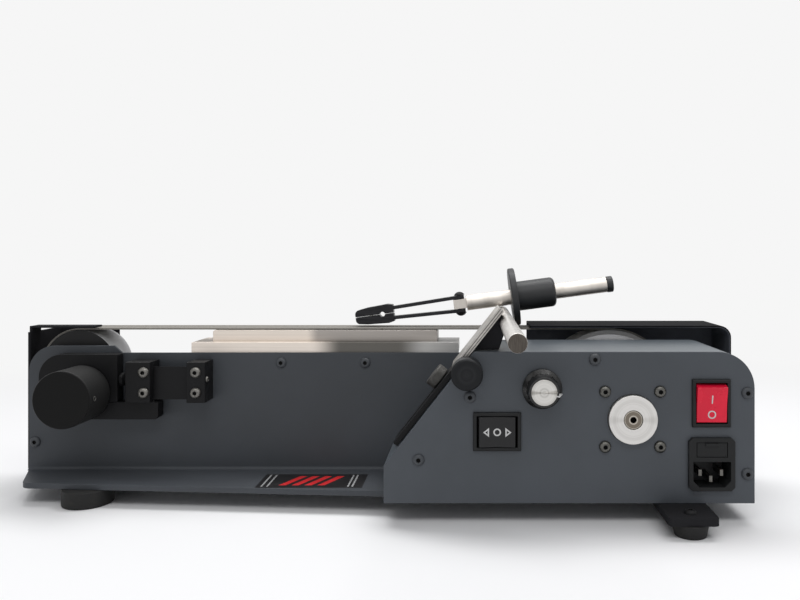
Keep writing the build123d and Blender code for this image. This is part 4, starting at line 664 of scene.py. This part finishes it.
# Screws: their places in X and Z on the panel's and the wall's face, and the seats of the others
MOTOR_HALF = 18.0
MOTOR_MIDDLE = (105.0, 68.6)
PANEL_PLACES = [(80.4, 107.6), (180.0, 85.7), (180.0, 32.8), (-35.0, 42.0), (-1.3, 83.0)]
MOTOR_PLACES = [(MOTOR_MIDDLE[0] + x, MOTOR_MIDDLE[1] + z)
                for x in (-MOTOR_HALF, MOTOR_HALF) for z in (-MOTOR_HALF, MOTOR_HALF)]
WALL_DEPTH = 70
WALL_PLACES = [(-143, 95.2), (-80, 95.2), (-327, 36)]
LOW_HEAD = 1.9
LEAF_SCREW_X, ARM_SCREW_X = -200.75, -238.5
LEAF_SCREW_DEPTH = 53
LEAF_SCREW_Z = (75.8, 90.6)
LEAF_SCREW_LENGTH = 14.0
FOOT_BAR_SEAT = spot(137.4, -18, 13.5)
HINGE_SIDE_SEAT = spot(-194, 57, 85)
GRUB_SEAT = spot(-265.9, 37, 74.8)
FACING_UP = Matrix.Rotation(math.radians(-90), 4, "X")
FACING_RIGHT = Matrix.Rotation(math.radians(90), 4, "Z")


def leaf_seats(x):
    """The seats of the two screws in one clamp bar of the leaf."""
    return [spot(x, LEAF_SCREW_DEPTH, z) for z in LEAF_SCREW_Z]


panel_screws = screws("panel_screws", [spot(x, 0, z) for x, z in PANEL_PLACES], painted_screw, "chassis",
                      "steel_strip", height=LOW_HEAD)
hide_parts("button_screws")
screws("motor_screws", [spot(x, 0, z) for x, z in MOTOR_PLACES], dark_screw, "chassis", "steel_strip")
screws("wall_screws", [spot(x, WALL_DEPTH, z) for x, z in WALL_PLACES], painted_screw, "chassis",
       "steel_strip", height=LOW_HEAD)
screws("leaf_screws", leaf_seats(LEAF_SCREW_X), grey_screw, "chassis", "bright_screws", length=LEAF_SCREW_LENGTH)
arm_screws = screws("arm_leaf_screws", leaf_seats(ARM_SCREW_X), grey_screw, "tracking_arm", "bright_screws",
                    length=LEAF_SCREW_LENGTH)
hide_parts("arm_screws")
screws("foot_bar_screw", [FOOT_BAR_SEAT], black_steel, "chassis", "steel_strip", FACING_UP, length=3.0)
screws("hinge_side_screw", [HINGE_SIDE_SEAT], grey_screw, "chassis", "bright_screws", FACING_RIGHT,
       radius=2.2, height=1.2, hexagon=0.9, shank=1.2, length=3.0)
screws("knob_grub_screw", [GRUB_SEAT], zinc, "tracking_knob", "bright_screws", FACING_RIGHT,
       radius=1.9, height=0.3, hexagon=1.0, shank=1.5, length=4.0)

# Thickness of the printed marks
MARK_DEPTH = 0.12


def printed(form, node, x, z):
    """Lays a thin mark that faces +Z on the operator's side of a CAD node, over any fold in it."""
    solid = bmesh.new()
    solid.from_mesh(frame["nodes"][node].data)
    tree = BVHTree.FromBMesh(solid)
    solid.free()
    for vert in form.verts:
        eye = Vector((x + vert.co.x, -1.0, z + vert.co.y))
        place = tree.ray_cast(eye, Vector((0, 1, 0)))[0]
        vert.co = place - Vector((0, vert.co.z, 0))
    bmesh.ops.recalc_face_normals(form, faces=form.faces)
    return form


def outline_mark(sides, radius, width, squeeze=1.0, turn=0.0):
    """A thin printed outline, round or with straight sides, facing +Z, in millimetres."""
    form = bmesh.new()
    bmesh.ops.create_circle(form, cap_ends=True, segments=sides, radius=radius * MM)
    bmesh.ops.rotate(form, cent=(0, 0, 0), matrix=Matrix.Rotation(math.radians(turn), 3, "Z"), verts=form.verts)
    bmesh.ops.scale(form, vec=(squeeze, 1, 1), verts=form.verts)
    bmesh.ops.inset_region(form, faces=form.faces[:], thickness=width * MM, use_boundary=True,
                           use_even_offset=True)
    core = [face for face in form.faces if len(face.verts) == sides]
    bmesh.ops.delete(form, geom=core, context="FACES_ONLY")
    bmesh.ops.solidify(form, geom=form.faces[:], thickness=MARK_DEPTH * MM)
    lowest = min(vert.co.z for vert in form.verts)
    bmesh.ops.translate(form, vec=(0, 0, -lowest), verts=form.verts)
    bmesh.ops.recalc_face_normals(form, faces=form.faces)
    return form


def bar_mark(width, height):
    """A thin printed bar, facing +Z, in millimetres."""
    return moved(slab(width, height, MARK_DEPTH, width * 0.2), FACING_UP)


# Marks on the switches: arrows and a ring, a bar and a ring
RING_SIDES = 40
ARROW_REACH = 6.6
direction = middle("direction_rocker")
marks = [printed(outline_mark(RING_SIDES, 2.5, 0.9), "direction_rocker", direction.x, direction.z)]
for side, turn in ((-1, 90), (1, -90)):
    arrow = outline_mark(3, 3.5, 0.9, 0.74, turn)
    marks.append(printed(arrow, "direction_rocker", direction.x + side * ARROW_REACH * MM, direction.z))
settle(joined(marks), "direction_marks", white_print, "direction_rocker", 30)
ON_ABOVE = 2.8
OFF_BELOW = 7.2
power = middle("power_rocker")
on_bar = printed(bar_mark(0.8, 5.6), "power_rocker", power.x, power.z + ON_ABOVE * MM)
off_ring = printed(outline_mark(RING_SIDES, 2.7, 0.8), "power_rocker", power.x, power.z - OFF_BELOW * MM)
settle(joined([on_bar, off_ring]), "power_marks", white_print, "power_rocker", 30)

# Pointer line down the side of the speed knob: its width and place round the knob in degrees, and its section in
# radius and depth
POINTER_ANGLE = 5.0
POINTER_TURN = 13.0
POINTER_OUTER = [(8.3, -15.4), (10.1, -15.4), (13.4, -2.8)]
POINTER_INNER = [(13.0, -2.2), (10.4, -4.9), (9.4, -14.6), (8.3, -14.6)]
pointer = bmesh.new()
points = [pointer.verts.new((radius * MM, depth * MM, 0)) for radius, depth in POINTER_OUTER + POINTER_INNER]
pointer.faces.new(points)
bmesh.ops.spin(pointer, geom=pointer.verts[:] + pointer.edges[:] + pointer.faces[:], cent=(0, 0, 0), axis=(0, 1, 0),
               dvec=(0, 0, 0), angle=math.radians(POINTER_ANGLE), steps=2, use_merge=False, use_duplicate=False)
bmesh.ops.recalc_face_normals(pointer, faces=pointer.faces)
knob = middle("speed_knob_cap")
turn = Matrix.Rotation(math.radians(POINTER_TURN), 4, "Y")
moved(pointer, Matrix.Translation((knob.x, PANEL_Y * MM, knob.z)) @ turn)
settle(pointer, "speed_pointer", white_print, "speed_knob", 30)

# Plain label on the tray: a dark plate with slanted red bars between pale lines
LABEL_MIDDLE = spot(-113.0, 41.5, 15.5)
LABEL_SIZE = (74.0, 31.0)
LABEL_THICK = 0.15
PRINT_THICK = 0.25
RED_BAR = (5.0, 21.0)
RED_LEAN = 0.5
RED_PLACES = (-14.0, -5.0, 4.0, 13.0)
PALE_LINE = (1.2, 27.0)
PALE_PLACES = (-33.0, -29.0, 27.0, 30.0)


def label_bar(width, height, depth, along, lean=0.0):
    """A printed bar on the label, leaning in the label's plane."""
    bar = slab(width, height, depth, 0.3)
    for vert in bar.verts:
        vert.co.x += vert.co.z * lean
    return moved(bar, Matrix.Translation(LABEL_MIDDLE + Vector((along * MM, 0, 0))) @ FACING_UP)


settle(label_bar(*LABEL_SIZE, LABEL_THICK, 0.0), "label_plate", dark_print, "chassis", 30)
red_bars = [label_bar(*RED_BAR, PRINT_THICK, along, RED_LEAN) for along in RED_PLACES]
settle(joined(red_bars), "label_red_bars", red_print, "chassis", 30)
pale_lines = [label_bar(*PALE_LINE, PRINT_THICK, along) for along in PALE_PLACES]
settle(joined(pale_lines), "label_white_bars", grey_print, "chassis", 30)

# Camera
CAMERA_PLACE = spot(0, -480, 176)
lens = bpy.data.cameras.new("photo_view")
lens.sensor_width = 36.0
lens.lens = 33.03
lens.shift_x = -0.09
lens.shift_y = -0.05625
lens.clip_start = 0.01
lens.clip_end = 50
camera = bpy.data.objects.new("photo_view", lens)
camera.matrix_world = Matrix.Translation(CAMERA_PLACE) @ Matrix.Rotation(math.radians(90), 4, "X")
bpy.context.scene.collection.objects.link(camera)
bpy.context.scene.camera = camera

# Floor, which turns into the backdrop away from the machine, and light
BACKDROP = shade(246, 246, 246)
BACKDROP_BEGINS, BACKDROP_FULL = 0.4, 0.95
FLOOR_HALF = 4.0
ROOM_STRENGTH = 0.34
floor_finish = Finish("studio_floor", Base_Color=shade(246, 246, 247), Roughness=0.7, Specular_IOR_Level=0.2)
cloth_cloud = floor_finish.grain(3, 3)
floor_finish.colour(floor_finish.mix(cloth_cloud * 0.5, shade(247, 247, 248), shade(242, 242, 243)))
away = floor_finish.step(floor_finish.radius((0, 0, 0), (1, 1, 0)), BACKDROP_BEGINS, BACKDROP_FULL)
backdrop = floor_finish.node("ShaderNodeEmission", {}, {"Color": BACKDROP})
surface = floor_finish.node("ShaderNodeMixShader", {}, {
    0: away * floor_finish.seen(), 1: Value(floor_finish, floor_finish.shader.outputs[0]), 2: backdrop})
floor_finish.feed(floor_finish.tree.nodes["Material Output"].inputs["Surface"], surface)
sweep = bmesh.new()
bmesh.ops.create_grid(sweep, x_segments=1, y_segments=1, size=FLOOR_HALF)
floor_mesh = bpy.data.meshes.new("studio_floor")
sweep.to_mesh(floor_mesh)
sweep.free()
floor_mesh.materials.append(floor_finish.material)
floor = bpy.data.objects.new("studio_floor", floor_mesh)
bpy.context.scene.collection.objects.link(floor)

world = bpy.data.worlds.new("studio")
bpy.context.scene.world = world
world.use_nodes = True
world.node_tree.nodes.clear()
sky = Nodes(world.node_tree)
room = sky.node("ShaderNodeBackground", {}, {"Color": (0.97, 0.98, 1.0, 1.0), "Strength": ROOM_STRENGTH})
white = sky.node("ShaderNodeBackground", {}, {"Color": BACKDROP})
seen = sky.node("ShaderNodeMixShader", {}, {0: sky.seen(), 1: room, 2: white})
sky.feed(sky.tree.nodes.new("ShaderNodeOutputWorld").inputs["Surface"], seen)


def softbox(name, place, target, size, power):
    """A studio lamp of a width and a height in metres, aimed at a point, with its power in watts."""
    lamp = bpy.data.lights.new(name, "AREA")
    lamp.shape = "RECTANGLE"
    lamp.size, lamp.size_y = size
    lamp.energy = power
    thing = bpy.data.objects.new(name, lamp)
    aim = (Vector(target) - Vector(place)).to_track_quat("-Z", "Y")
    thing.matrix_world = Matrix.Translation(place) @ aim.to_matrix().to_4x4()
    bpy.context.scene.collection.objects.link(thing)


softbox("overhead", (0.1, 0.4, 1.4), (0.0, 0.0, 0.0), (1.8, 0.5), 16)
softbox("front_fill", (0.1, -0.95, 1.5), (0.0, 0.0, 0.05), (1.8, 0.6), 9)

bpy.context.scene.view_settings.view_transform = "Standard"
